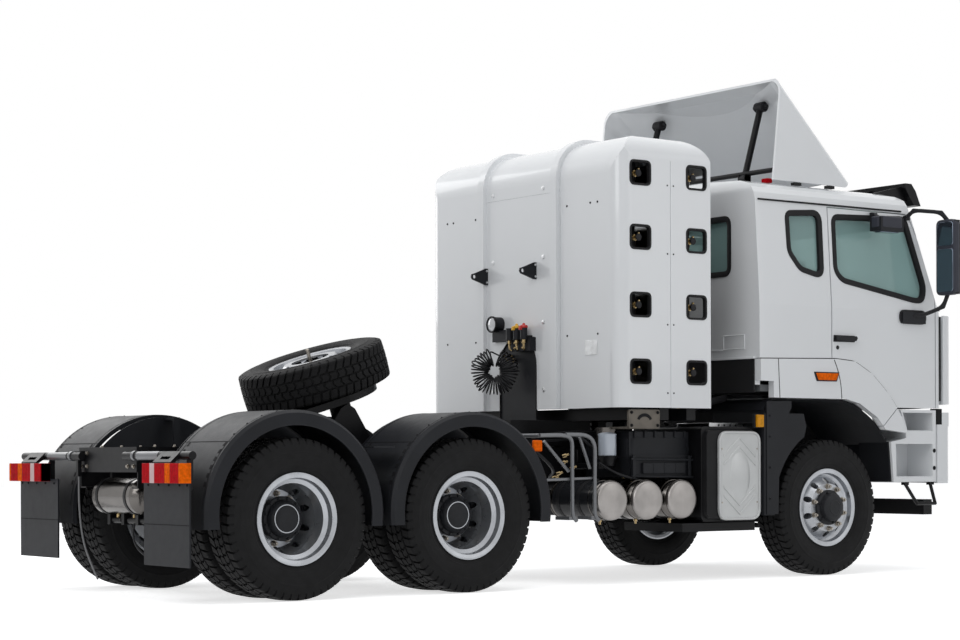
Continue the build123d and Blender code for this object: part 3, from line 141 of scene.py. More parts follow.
FLOOR_HALF = 60.0
CORNERS = np.array(((-1, -1), (1, -1), (1, 1), (-1, 1)))
floor_data = bpy.data.meshes.new("floor")
floor_data.from_pydata([(x * FLOOR_HALF, y * FLOOR_HALF, 0) for x, y in CORNERS], [], [(0, 1, 2, 3)])
floor_material, floor_tree, floor_shader = new_material("floor")
floor = add_object("floor", floor_data, floor_material)
feed(floor_shader, Base_Color=(0.86, 0.86, 0.86, 1.0), Roughness=0.9)
floor_glow = new_node(floor_tree, "Emission", Strength=0.66)
floor_dark = new_node(floor_tree, "Emission", Strength=0.0)
floor_pick = new_node(floor_tree, "MixShader", seen_directly(floor_tree), floor_dark, floor_glow)
floor_sum = new_node(floor_tree, "AddShader", floor_shader, floor_pick)
feed(floor_tree.nodes["Material Output"], floor_sum)

# ------------------------ coiled air lines
# Two nylon air lines wound into one round bunch of loops, hooked up on the panel behind the cab.
# The bunch is a ring, and the line runs round its section once for each loop.


def finish(name, color, roughness, metallic=0, grain=400, bump=0.05, stain=0.08, stain_scale=3,
           rough_spread=0.08, coat=0, gloss=0.5):
    """One surface: a base colour that noise makes a little darker in patches, a roughness that noise
    varies, and a fine grain as bump. All noise reads Object coordinates. Dark ones take less gloss."""
    material, tree, shader = new_material(name)
    place = new_node(tree, "TexCoord").outputs["Object"]

    def noise(scale, detail):
        return new_node(tree, "TexNoise", place, Scale=scale, Detail=detail)

    tone = new_node(tree, "Mix")
    tone.data_type = "RGBA"
    patches = new_node(tree, "MapRange", noise(stain_scale, 6), From_Min=0.35, From_Max=0.6)
    feed(tone, Factor=patches, A=(*[c * (1 - stain) for c in color], 1), B=(*color, 1))
    spread = new_node(tree, "MapRange", noise(stain_scale * 4, 4),
        To_Min=max(0.02, roughness - rough_spread), To_Max=min(1, roughness + rough_spread))
    relief = new_node(tree, "Bump", Strength=bump, Distance=0.002, Height=noise(grain, 2))
    feed(shader, Base_Color=tone.outputs["Result"], Roughness=spread, Normal=relief, Metallic=metallic,
        Specular_IOR_Level=gloss if max(color) > 0.1 else gloss * 0.3, Coat_Weight=coat,
        Coat_Roughness=0.04)
    return material


def dress(material, *names):
    """Give CAD nodes a material."""
    for name in names:
        nodes[name].data.materials.clear()
        nodes[name].data.materials.append(material)


def cord_curve(name, points, diameter, material):
    """A smooth tube: a NURBS curve of order 3 with the route's points as its control points."""
    data = bpy.data.curves.new(name, "CURVE")
    data.dimensions = "3D"
    data.bevel_depth = diameter / 2
    data.bevel_resolution = 3
    data.use_fill_caps = True
    spline = data.splines.new("NURBS")
    spline.points.add(len(points) - 1)
    flat = np.ones((len(points), 4))
    flat[:, :3] = points
    spline.points.foreach_set("co", flat.ravel())
    spline.order_u = 3
    spline.use_endpoint_u = True
    spline.resolution_u = 4
    return add_object(name, data, material)


hose_nylon = finish("hose_nylon", (0.018, 0.018, 0.02), 0.38, grain=900, bump=0.03)
UP = (0, 0, 1)
PANEL_X = -0.0125
COIL_CENTRE = np.array((PANEL_X - 0.172, 0.097, 1.612))
COIL_AXIS = np.array((-1, -1, 0)) * math.sqrt(0.5)
COIL_ACROSS = np.array((1, -1, 0)) * math.sqrt(0.5)
COIL_RING = 0.115
LOOP_RADIUS = 0.068
COIL_LOOPS = 36
COIL_START = math.radians(100)
COIL_SWEEP = math.radians(335)
POINTS_PER_LOOP = 14
COIL_DIAMETER = 0.0115
STUB_X = PANEL_X - 0.106


def coil_route():
    """Points of the wound line. At angle a round the ring, each loop's centre is COIL_RING from the
    bunch's middle, and the loop turns by COIL_LOOPS * a in the plane of the ring's axis and radius.
    Its size and lean change slowly, so that no two loops are alike."""
    turn = np.linspace(0.0, 1.0, COIL_LOOPS * POINTS_PER_LOOP)
    ring = COIL_START + COIL_SWEEP * turn
    loop = 2 * math.pi * COIL_LOOPS * turn
    size = LOOP_RADIUS * (1 + 0.09 * np.sin(5.1 * ring) + 0.06 * np.sin(loop * 0.37))
    lean = 0.12 * np.sin(ring * 3.0) + 0.07 * np.sin(loop * 0.21)
    radial = (COIL_RING + size * np.cos(loop))[:, None]
    along = (0.9 * size * np.sin(loop))[:, None]
    angle = ring + lean * np.sin(loop) * 0.4
    return (COIL_CENTRE + along * COIL_AXIS + radial * np.cos(angle)[:, None] * COIL_ACROSS + radial
        * np.sin(angle)[:, None] * np.array(UP))


coil_start = (STUB_X, 0.095, 1.732)
coil_end = (STUB_X, 0.055, 1.7)
coil_path = np.vstack(([coil_start], [(STUB_X - 0.02, 0.095, 1.733)], coil_route()[2:-2],
    [(STUB_X - 0.02, 0.055, 1.7)], [coil_end]))
coil = cord_curve("air_line_coil", coil_path, COIL_DIAMETER, hose_nylon)
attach(coil, "chassis")
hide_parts("suzi_coil")

# ------------------------ earth strap
# A rubber strap that hangs free from the tail bar and ends just above the ground, bent sideways
# by how it was packed.
TAIL_X = -3.6875
STRAP_DIAMETER = 0.014
strap_route = [(TAIL_X + 0.1, 0.369, 0.82), (TAIL_X + 0.099, 0.371, 0.705), (TAIL_X + 0.097, 0.356, 0.585),
    (TAIL_X + 0.098, 0.333, 0.462), (TAIL_X + 0.101, 0.292, 0.345), (TAIL_X + 0.104, 0.212, 0.236),
    (TAIL_X + 0.106, 0.1, 0.12)]
strap_rubber = finish("strap_rubber", (0.16, 0.16, 0.165), 0.55, grain=700, bump=0.08)
strap = cord_curve("earth_strap_cord", strap_route, STRAP_DIAMETER, strap_rubber)
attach(strap, "chassis")
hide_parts("earth_strap")

# ------------------------ painted and cast finishes
# The cab and housings are sprayed gloss white over sheet steel, the chassis satin black, and the
# axles and castings a thinner black that dust dulls.
cab_paint = finish("cab_paint", (0.8, 0.815, 0.83), 0.24, grain=1400, bump=0.006, stain=0.02,
    stain_scale=1.2, rough_spread=0.03, coat=0.6)
dress(cab_paint, "cab_roof", "cab_back", "cab_sides", "cab_front", "cab_fenders", "front_flap",
    "door_right", "door_left", "roof_deflector", "rack_panels", "bumper", "steps")
chassis_paint = finish("chassis_paint", (0.007, 0.007, 0.008), 0.36, grain=500, stain=0.35, stain_scale=5)
dress(chassis_paint, "frame_rails", "rack_frame", "fold_steps", "tail_bar", "side_brackets",
    "fifth_wheel_base", "fifth_wheel_plate", "roof_fittings", "silencer")
cast_iron = finish("cast_iron", (0.01, 0.01, 0.011), 0.6, grain=220, bump=0.35, stain=0.4, stain_scale=7)
dress(cast_iron, "engine", "gearbox", "rear_axles", "front_axle", "knuckle_right", "knuckle_left",
    "tie_rod")
guard_plastic = finish("guard_plastic", (0.015, 0.016, 0.019), 0.46, grain=900, bump=0.12, stain=0.2,
    stain_scale=4)
dress(guard_plastic, "mudguards", "mud_flaps", "side_boxes", "mirrors_right", "mirrors_left",
    "trailer_couplings")
cabin_trim = finish("cabin_trim", (0.1, 0.105, 0.11), 0.7, grain=600, bump=0.2)
dress(cabin_trim, "cab_interior", "cab_floor", "steering_wheel")
tank_metal = finish("tank_metal", (0.13, 0.122, 0.115), 0.22, metallic=1, grain=300, bump=0.02, stain=0.12,
    stain_scale=6)
dress(tank_metal, "air_tanks")
wheel_enamel = finish("wheel_enamel", (0.4, 0.415, 0.44), 0.3, metallic=0.8, grain=600, bump=0.03,
    stain=0.15, stain_scale=9, coat=0.3)
dress(wheel_enamel, "rim_front_right", "rim_front_left", "spare_rim", "rims_rear1_right", "rims_rear1_left",
    "rims_rear2_right", "rims_rear2_left")
cylinder_wrap = finish("cylinder_wrap", (0.045, 0.035, 0.025), 0.3, grain=260, bump=0.25, stain=0.4,
    stain_scale=12, coat=0.15)
dress(cylinder_wrap, "gas_cylinders")

# ------------------------ glass
# Tinted safety glass, greenish, held in rubber: a clear share that light passes straight through,
# and a glossy face.
TINT = np.array((0.42, 0.62, 0.60))
CLEAR = 0.55
cab_tint, tint_tree, tint_shader = new_material("cab_tint")
feed(tint_shader, Base_Color=(*TINT, 1), Roughness=0.03, Specular_IOR_Level=0.6)
haze = new_node(tint_tree, "TexNoise", new_node(tint_tree, "TexCoord").outputs["Object"], Scale=2)
share = new_node(tint_tree, "MapRange", haze, To_Min=CLEAR - 0.03, To_Max=CLEAR + 0.03)
through = new_node(tint_tree, "BsdfTransparent", (*(0.6 + 0.4 * TINT), 1))
feed(tint_tree.nodes["Material Output"], new_node(tint_tree, "MixShader", share, tint_shader, through))
dress(cab_tint, "cab_glass", "door_glass_right", "door_glass_left")

# ------------------------ tyres
# Radial truck tyres with deep shoulder lugs, three zigzag grooves round the tread and plain walls
# with moulded rings. Each is moulded in one piece.
LEFT = (0, 1, 0)
PITCHES = 54
GROOVE_DEPTH = 0.015
TYRE_SECTION = np.array((
    # offset, radius, shoulder lug, centre block
    (-0.112, 0.286, 0, 0), (-0.116, 0.312, 0, 0), (-0.127, 0.336, 0, 0), (-0.129, 0.34, 0, 0),
    (-0.134, 0.345, 0, 0), (-0.143, 0.372, 0, 0), (-0.149, 0.402, 0, 0), (-0.15, 0.432, 0, 0),
    (-0.1515, 0.436, 0, 0), (-0.1515, 0.444, 0, 0), (-0.149, 0.448, 0, 0), (-0.145, 0.474, 0, 0),
    (-0.1425, 0.492, 0.0, 0), (-0.141, 0.498, 0.9, 0), (-0.134, 0.52, 1, 0), (-0.128, 0.532, 1, 0),
    (-0.118, 0.5355, 1, 0), (-0.066, 0.5385, 1, 0), (-0.064, 0.5385, 9, 0), (-0.054, 0.539, 9, 0),
    (-0.052, 0.539, 0, 1), (-0.028, 0.5397, 0, 1), (-0.0062, 0.54, 0, 1), (-0.0045, 0.54, 9, 0),
))
PITCH_STOPS = np.array((0.0, 0.035, 0.235, 0.27, 0.63))


def tyre_surface(centre, axis):
    """A closed ring: the section turned about the axis. Along each pitch five stops mark a lateral
    groove's two walls and floor, and the groove's angle shifts across the width as a wave. Groove
    points sit GROOVE_DEPTH below the tread; the section's inside closes it at the beads."""
    offset, radius, lug, block = np.vstack((TYRE_SECTION, TYRE_SECTION[::-1] * (-1, 1, 1, 1))).T
    steps = (np.arange(PITCHES)[:, None] + PITCH_STOPS[None, :]).ravel() / PITCHES
    groove = np.tile((0.0, 1.0, 1.0, 0.0, 0.0), PITCHES)
    wave = 0.5 * (offset > 0) + 2.7 * np.abs(offset) + 0.22 * np.sin(offset * 60)
    angle = 2 * math.pi * (steps[:, None] + wave[None, :] / PITCHES)
    lug_share = np.where(lug > 1.5, 0.0, lug)
    ring_groove = np.where(lug > 1.5, 1.0, 0.0)
    depth = np.maximum(groove[:, None] * np.maximum(lug_share, 0.75 * block)[None, :], ring_groove[None, :])
    reach = radius[None, :] - GROOVE_DEPTH * depth
    axis = Vector(axis).normalized()
    side_way = axis.orthogonal().normalized()
    up_way = axis.cross(side_way)
    return (np.array(centre) + offset[None, :, None] * np.array(axis) + (reach * np.cos(angle))[..., None]
        * np.array(side_way) + (reach * np.sin(angle))[..., None] * np.array(up_way))


def ring_mesh(name, grids, material):
    """Join rings, each a grid closed both ways round, into one object."""
    points, faces, start = [], [], 0
    for grid in grids:
        rows, columns = grid.shape[:2]
        index = start + np.arange(rows * columns).reshape(rows, columns)
        next_row = np.roll(index, -1, axis=0)
        quads = np.stack((index, np.roll(index, -1, axis=1), np.roll(next_row, -1, axis=1), next_row), -1)
        faces.append(quads.reshape(-1, 4))
        points.append(grid.reshape(-1, 3))
        start += rows * columns
    data = bpy.data.meshes.new(name)
    data.from_pydata(np.vstack(points).tolist(), [], np.vstack(faces).tolist())
    return add_object(name, data, material)


tyre_rubber = finish("tyre_rubber", (0.0085, 0.0085, 0.009), 0.66, grain=500, bump=0.15, stain=0.35,
    stain_scale=14)
DUAL_Y = (0.738, 1.081)
SIDES = (("right", -1), ("left", 1))
REAR_AXLES = tuple(zip(("rear1", "rear2"), REAR_X))
TYRES = [(f"tyre_front_{hand}", f"front_wheel_{hand}", [(FRONT_X, side * 1.02, AXLE_Z)])
    for hand, side in SIDES]
TYRES += [(f"tyres_{axle}_{hand}", f"{axle}_wheels_{hand}", [(x, side * y, AXLE_Z) for y in DUAL_Y])
    for axle, x in REAR_AXLES for hand, side in SIDES]
for node, body, centres in TYRES:
    tyre = ring_mesh(f"{node}_tread", [tyre_surface(centre, LEFT) for centre in centres], tyre_rubber)
    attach(tyre, body)
    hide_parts(node)

TILT = math.radians(18.0)
PLATE_UP = Vector((-math.sin(TILT), 0.0, math.cos(TILT)))
PLATE_FORE = Vector((math.cos(TILT), 0.0, math.sin(TILT)))
PIVOT = Vector((-1.8625, 0.0, 1.285))
SPARE_CENTRE = PIVOT + PLATE_UP * 0.2554 + PLATE_FORE * 0.05
spare = ring_mesh("spare_tyre_tread", [tyre_surface(SPARE_CENTRE, PLATE_UP)], tyre_rubber)
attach(spare, "spare_wheel")
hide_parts("spare_tyre")

# ------------------------ wheel hubs and nuts
# Ten hexagon nuts with washers hold each wheel. The front hub is a low black cap, the rear one a
# deep drum with a bolted flange. The spare shows its bare disc.


def grid_faces(rows, around, closed=False):
    """Quads between rows of points round a form, with flat ends unless it closes on itself."""
    index = np.arange(rows * around).reshape(rows, around)
    ring = np.vstack((index, index[:1])) if closed else index
    low, high = ring[:-1], ring[1:]
    quads = np.stack((low, np.roll(low, -1, 1), np.roll(high, -1, 1), high), -1).reshape(-1, 4)
    ends = [] if closed else [index[0][::-1].tolist(), index[-1].tolist()]
    return quads.tolist() + ends


def turned(profile, centre, axis, around=32, closed=False):
    """A body of revolution: at turn t each (along, radius) pair lies at
    centre + along * axis + radius * (cos t * side + sin t * up)."""
    way = Vector(axis).normalized()
    side = way.orthogonal().normalized()
    up = way.cross(side)
    along, radius = np.array(profile, float).T
    turn = 2 * math.pi * np.arange(around) / around
    rim = np.cos(turn)[:, None] * np.array(side) + np.sin(turn)[:, None] * np.array(up)
    points = np.array(centre) + along[:, None, None] * np.array(way) + radius[:, None, None] * rim
    return points.reshape(-1, 3), grid_faces(len(profile), around, closed)


def prism(outline, axis, low, high):
    """A flat outline pushed along an axis: y takes (x, z) pairs, z takes (x, y), x takes (y, z)."""
    flat = np.array(outline, float)
    ends = [np.insert(flat, "xyz".index(axis), level, axis=1) for level in (low, high)]
    ring = np.arange(len(flat))
    sides = np.stack((ring, np.roll(ring, -1), np.roll(ring, -1) + len(flat), ring + len(flat)), -1)
    return np.vstack(ends), [ring[::-1].tolist(), (ring + len(flat)).tolist()] + sides.tolist()


def box(x0, x1, y0, y1, z0, z1):
    """A block between six planes."""
    return prism(((x0, y0), (x1, y0), (x1, y1), (x0, y1)), "z", z0, z1)


def eased(route, reach, steps=5, loop=False):
    """The route with each corner replaced by a quadratic curve that starts `reach` before it."""
    route = np.array(route, float)
    before, after = np.roll(route, 1, 0), np.roll(route, -1, 0)
    gap_in = np.linalg.norm(before - route, axis=1)[:, None]
    gap_out = np.linalg.norm(after - route, axis=1)[:, None]
    start = route + (before - route) * np.minimum(reach / gap_in, 0.48)
    end = route + (after - route) * np.minimum(reach / gap_out, 0.48)
    share = np.linspace(0.0, 1.0, steps)[None, :, None]
    bends = ((1 - share) ** 2 * start[:, None] + 2 * share * (1 - share) * route[:, None] + share ** 2
        * end[:, None])
    if loop:
        return bends.reshape(-1, route.shape[1])
    inner = bends[1:-1].reshape(-1, route.shape[1])
    return np.vstack((route[:1], inner, route[-1:]))


def tube(route, radius, around=12, reach=0.0):
    """A round bar: circles square to the route, each carried on from the last without a twist."""
    line = eased(route, reach) if reach else np.array(route, float)
    ways = np.gradient(line, axis=0)
    ways /= np.linalg.norm(ways, axis=1)[:, None]
    side = Vector(ways[0]).orthogonal().normalized()
    sides = []
    for way in ways:
        side = (side - Vector(way) * side.dot(Vector(way))).normalized()
        sides.append(side)
    sides = np.array(sides)
    ups = np.cross(ways, sides)
    turn = 2 * math.pi * np.arange(around) / around
    points = (line[:, None] + radius * (np.cos(turn)[None, :, None] * sides[:, None] + np.sin(turn)[None, :,
        None] * ups[:, None]))
    return points.reshape(-1, 3), grid_faces(len(line), around)


def joined(name, material, parts, bevel=0.0, body="chassis"):
    """One object from closed shapes, its faces turned outwards and its sharp edges kept."""
    points, faces, start = [], [], 0
    for shape_points, shape_faces in parts:
        points.append(shape_points)
        faces += [[start + corner for corner in face] for face in shape_faces]
        start += len(shape_points)
    data = bpy.data.meshes.new(name)
    data.from_pydata(np.vstack(points).tolist(), [], faces)
    shell = bmesh.new()
    shell.from_mesh(data)
    bmesh.ops.recalc_face_normals(shell, faces=shell.faces)
    shell.to_mesh(data)
    shell.free()
    data.shade_smooth()
    data.set_sharp_from_angle(angle=SHARP_EDGE)
    obj = add_object(name, data, material)
    if bevel:
        edge = obj.modifiers.new("edge", "BEVEL")
        edge.width = bevel
        edge.segments = 2
        edge.limit_method = "ANGLE"
        edge.angle_limit = BEVELLED_EDGE
    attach(obj, body)
    return obj


def bolt(place, axis, across=0.016, height=0.012):
    """A hexagon head on its washer."""
    washer = turned(((-0.001, across * 0.75), (0.003, across * 0.75)), place, axis, 14)
    head = turned(((0.003, across * 0.55), (height, across * 0.55), (height + 0.002, across * 0.42)), place,
        axis, 6)
    return [washer, head]


def rod(low, high, radius, centre, axis, around=16):
    """A plain cylinder between two planes across its axis."""
    return turned(((low, radius), (high, radius)), centre, axis, around)


def hoop(half, inner, outer, centre):
    """A flat ring across the vehicle, `half` to each side of its middle plane."""
    return turned(((-half, outer), (half, outer), (half, inner), (-half, inner)), centre, LEFT, 64,
        closed=True)


def each(maker, places, *rest):
    """The same small part at each of several places."""
    return [piece for place in places for piece in maker(place, *rest)]


def ring_of(count, radius, centre, axis, maker, phase=0.0):
    """Small parts spaced evenly on a circle about an axis."""
    way = Vector(axis).normalized()
    side = way.orthogonal().normalized()
    up = way.cross(side)
    parts = []
    for number in range(count):
        turn = 2 * math.pi * number / count + phase
        place = Vector(centre) + (side * math.cos(turn) + up * math.sin(turn)) * radius
        parts += maker(place, way)
    return parts


def wheel_nut(place, axis):
    """A large nut with its washer and the stud's end."""
    return [turned(((-0.001, 0.0225), (0.005, 0.0215)), place, axis, 18),
        turned(((0.005, 0.0175), (0.026, 0.0175), (0.029, 0.0145)), place, axis, 6),
        turned(((0.027, 0.0095), (0.04, 0.0095), (0.042, 0.0075)), place, axis, 12)]


NUT_RING = 0.1675
FRONT_NUT_FACE = 1.152
REAR_NUT_FACE = 0.9215
REAR_HUB_FACE = 0.9095
SHARP_EDGE = math.radians(35)
BEVELLED_EDGE = math.radians(40)
FRONT_HUB = ((-0.003, 0.139), (0.016, 0.139), (0.022, 0.131), (0.024, 0.113), (0.05, 0.11), (0.064, 0.107),
    (0.0745, 0.092), (0.0755, 0.06), (0.0785, 0.056), (0.0785, 0.002))
REAR_HUB = ((-0.002, 0.134), (0.062, 0.134), (0.08, 0.128), (0.084, 0.15), (0.112, 0.15), (0.116, 0.146),
    (0.117, 0.126), (0.134, 0.123), (0.15, 0.116), (0.164, 0.099), (0.168, 0.06), (0.169, 0.002))
nut_steel = finish("nut_steel", (0.36, 0.33, 0.29), 0.3, metallic=1, grain=300, bump=0.1, stain=0.35,
    stain_scale=30)
hub_black = finish("hub_black", (0.024, 0.025, 0.028), 0.42, grain=350, bump=0.12, stain=0.3, stain_scale=9)
for hand, side in SIDES:
    way = (0, side, 0)
    body = f"front_wheel_{hand}"
    face = (FRONT_X, side * FRONT_NUT_FACE, AXLE_Z)
    joined(f"nuts_front_{hand}", nut_steel, ring_of(10, NUT_RING, face, way, wheel_nut, 0.2),
        body=body)
    hub = [turned(FRONT_HUB, face, way, 48)]
    hub += ring_of(6, 0.122, (FRONT_X, side * (FRONT_NUT_FACE + 0.022), AXLE_Z), way, bolt)
    joined(f"hub_front_{hand}", hub_black, hub, body=body)
    for axle, x in REAR_AXLES:
        face = (x, side * REAR_NUT_FACE, AXLE_Z)
        base = (x, side * REAR_HUB_FACE, AXLE_Z)
        body = f"{axle}_wheels_{hand}"
        joined(f"nuts_{axle}_{hand}", nut_steel,
            ring_of(10, NUT_RING, face, way, wheel_nut, 0.1), body=body)
        hub = [turned(REAR_HUB, base, way, 48)]
        hub += ring_of(12, 0.1375, (x, side * (REAR_HUB_FACE + 0.1145), AXLE_Z), way, bolt)
        joined(f"hub_{axle}_{hand}", hub_black, hub, body=body)

# ------------------------ window rubbers
# Black rubber holds each pane in the painted shell and hides its edge. The shell leans in above
# the belt line and rounds off towards the front.
BELT_Z = 2.12
SKIN_Y = 1.245
ARCH_Y = 1.26
FRONT_LEAN = 0.4353


def cab_side(x, z):
    """How far the cab's skin is from the middle: SKIN_Y up to the belt, then 0.0621 less per metre of
    height; ahead of the corner the drop is 2.87 d^2 + 80.3 d^4 with d the way past it."""
    height = np.maximum(np.asarray(z, float) - BELT_Z, 0.0)
    past = np.maximum(np.asarray(x, float) - (FRONT_X + 1.13 - FRONT_LEAN * height), 0.0)
    return np.minimum(SKIN_Y - 0.0621 * height, 1.259 - 2.87 * past ** 2 - 80.3 * past ** 4)


def from_front(side, *places):
    """Places on one side, given as (x from the front axle, y outwards, z)."""
    return [(FRONT_X + x, side * y, z) for x, y, z in places]


def block(side, x0, x1, y0, y1, z0, z1):
    """A box on one side, its x measured from the front axle and its y outwards."""
    return box(FRONT_X + x0, FRONT_X + x1, side * y0, side * y1, z0, z1)


def offset_loop(loop, amount):
    """A closed outline moved outwards along its own normals."""
    run = np.roll(loop, -1, 0) - np.roll(loop, 1, 0)
    normal = np.column_stack((run[:, 1], -run[:, 0]))
    normal /= np.linalg.norm(normal, axis=1)[:, None]
    turning = np.sum(loop[:, 0] * np.roll(loop[:, 1], -1) - np.roll(loop[:, 0], -1) * loop[:, 1])
    return loop + normal * amount * np.sign(turning)


def side_band(outline, side, rings, reach=0.05, skin=cab_side):
    """A closed rubber run round an opening in a side. Each ring is (outwards, lift) from the
    outline and from the skin; the last ring joins the first."""
    loop = eased(outline, reach, 6, loop=True)
    rows = []
    for outwards, lift in rings:
        flat = offset_loop(loop, outwards)
        rows.append(np.column_stack((flat[:, 0], side * (skin(*flat.T) + lift), flat[:, 1])))
    return np.vstack(rows), grid_faces(len(rings), len(loop), closed=True)


def from_axle(outline):
    """(x, z) pairs measured from the front axle, moved into the frame."""
    return [(FRONT_X + x, z) for x, z in outline]


DOOR_WINDOW = from_axle(((0.02, 2.84), (0.835, 2.872), (1.03, 2.326), (1.003, 2.222), (0.91, 2.222),
    (0.09, 2.35), (0.02, 2.42)))
QUARTER_WINDOW = from_axle(((-0.49, 2.838), (-0.18, 2.86), (-0.143, 2.822), (-0.145, 2.405), (-0.18, 2.378),
    (-0.37, 2.418), (-0.482, 2.546)))
RUBBER_RINGS = ((0.03, -0.004), (0.028, 0.005), (0.004, 0.007), (-0.016, 0.002), (-0.018, -0.023),
    (-0.001, -0.023))
window_rubber = finish("window_rubber", (0.012, 0.012, 0.013), 0.55, grain=800)
for hand, side in SIDES:
    joined(f"door_rubber_{hand}", window_rubber,
        [side_band(DOOR_WINDOW, side, RUBBER_RINGS)], body=f"door_{hand}")
    joined(f"quarter_rubber_{hand}", window_rubber,
        [side_band(QUARTER_WINDOW, side, RUBBER_RINGS, 0.04)], body="cab")

# ------------------------ door handles and side markers
# A black pull handle in a flush tray, a lock below it, an amber marker on the wheel-arch panel and
# the gaps between that panel and the door.
HANDLE = from_axle(((-0.03, 1.852), (-0.026, 1.905), (0.205, 1.905), (0.222, 1.885), (0.205, 1.853)))
GRIP = from_axle(((-0.018, 1.862), (-0.018, 1.9), (0.212, 1.9), (0.222, 1.884), (0.206, 1.862)))
MARKER = from_axle(((-0.262, 1.609), (0.018, 1.609), (-0.012, 1.536), (-0.232, 1.536)))
REAR_SEAM = ((-0.649, 1.699), (-0.642, 1.55), (-0.634, 1.398))
FRONT_SEAM = ((-0.038, 1.705), (0.0, 1.629), (0.034, 1.527), (0.045, 1.4))
DOOR_SEAM = ((-0.83, 1.7015), (-0.01, 1.7185), (0.202, 1.7035), (0.4, 1.6075), (0.597, 1.4455),
    (0.69, 1.338))
MARKER_LENS = from_axle(((-0.246, 1.6), (0.002, 1.6), (-0.024, 1.545), (-0.22, 1.545)))
LENS_MOULDING = {"grain": 220, "bump": 0.08, "stain": 0.3, "stain_scale": 45, "gloss": 0.06}
amber_lens = finish("amber_lens", (0.95, 0.15, 0.002), 0.5, **LENS_MOULDING)
red_lens = finish("red_lens", (0.52, 0.002, 0.008), 0.5, **LENS_MOULDING)
satin_black = finish("satin_black", (0.016, 0.016, 0.018), 0.45, grain=700, bump=0.06)
gap_black = finish("gap_black", (0.006, 0.006, 0.007), 0.7, grain=500, bump=0.03)
for hand, side in SIDES:
    skin = side * SKIN_Y
    joined(f"door_handle_{hand}", satin_black,
        [prism(HANDLE, "y", skin - side * 0.004, skin + side * 0.008),
        prism(GRIP, "y", skin + side * 0.006, skin + side * 0.027),
        turned(((-0.002, 0.017), (0.005, 0.016), (0.006, 0.006)), (FRONT_X + 0.017, skin, 1.807),
        (0, side, 0), 20)], bevel=0.003, body=f"door_{hand}")
    arch = side * ARCH_Y
    joined(f"marker_base_{hand}", satin_black,
        [prism(MARKER, "y", arch - side * 0.004, arch + side * 0.007)], bevel=0.003, body="cab")
    joined(f"marker_lens_{hand}", amber_lens,
        [prism(MARKER_LENS, "y", arch + side * 0.005, arch + side * 0.016)], bevel=0.006, body="cab")
    seams = []
    for seam, depth in ((REAR_SEAM, arch), (FRONT_SEAM, arch), (DOOR_SEAM, skin)):
        line = eased(from_axle(seam), 0.05)
        wide = np.vstack((line, (line + (0.006, 0.004))[::-1]))
        seams.append(prism(wide, "y", depth - side * 0.002, depth + side * 0.0012))
    joined(f"arch_seams_{hand}", gap_black, seams, body="cab")

# ------------------------ mirrors
# Black housings on bent tubes. The main housing carries a flat and a wide glass, the small one over
# the door looks down at the kerb.
MIRROR_X = FRONT_X + 1.105
MIRROR_Y = 1.435
ARM_RADIUS = 0.0165
mirror_glass = finish("mirror_glass", (0.16, 0.19, 0.24), 0.05, metallic=0.9, grain=40, bump=0.0,
    stain=0.05)
housing_plastic = finish("housing_plastic", (0.045, 0.048, 0.062), 0.34, grain=700, bump=0.04, stain=0.12)


def rounded_plate(axis, centre, half, corner, low, high):
    """A flat plate with rounded corners, square to an axis; centre and half in its own two ways."""
    return prism(eased(np.array(centre) + CORNERS * half, corner, 6, loop=True), axis, low, high)


for hand, side in SIDES:
    glass_x = MIRROR_X - 0.04
    middle = side * MIRROR_Y
    kerb = (FRONT_X + 0.46, side * 1.36)
    shells = [rounded_plate("x", (middle, 2.562), (0.101, 0.308), 0.05, MIRROR_X - 0.043, MIRROR_X + 0.02),
        rounded_plate("x", (middle, 2.562), (0.088, 0.292), 0.05, MIRROR_X + 0.02, MIRROR_X + 0.062)]
    shells += [rounded_plate("z", kerb, (0.135, 0.065), 0.05, 2.765, 2.858),
        rounded_plate("z", kerb, (0.115, 0.055), 0.05, 2.735, 2.765)]
    joined(f"mirror_shell_{hand}", housing_plastic, shells, bevel=0.012,
        body=f"door_{hand}")
    glasses = [rounded_plate("x", (middle, 2.455), (0.086, 0.175), 0.03, glass_x - 0.007, glass_x),
        rounded_plate("x", (middle, 2.752), (0.086, 0.096), 0.03, glass_x - 0.007, glass_x)]
    glasses.append(rounded_plate("z", kerb, (0.105, 0.046), 0.03, 2.73, 2.736))
    joined(f"mirror_glass_{hand}", mirror_glass, glasses, bevel=0.003, body=f"door_{hand}")
    skin = side * 1.243
    arms = [tube(from_front(side, (0.86, 1.262, 2.085), (0.96, 1.29, 2.095), (1.08, 1.4, 2.16),
        (1.11, 1.43, 2.29)), ARM_RADIUS, 14, 0.06),
        tube(from_front(side, (0.85, 1.21, 2.89), (0.86, 1.28, 2.945), (1.06, 1.4, 2.93),
        (1.112, 1.433, 2.84)), ARM_RADIUS, 14, 0.06)]
    arms += [rod(-0.035, 0.035, 0.024, (MIRROR_X + 0.055, middle, z), UP, 18) for z in (2.33, 2.8)]
    foot = eased(from_axle(((0.725, 2.02), (1.03, 2.02), (1.03, 2.135), (0.725, 2.135))), 0.055, 7, True)
    arms.append(prism(foot, "y", skin - side * 0.004, skin + side * 0.02))
    arms += each(bolt, from_front(side, (0.78, 1.262, 2.078), (0.99, 1.262, 2.078)), (0, side, 0), 0.014)
    joined(f"mirror_arms_{hand}", satin_black, arms, bevel=0.002, body=f"door_{hand}")

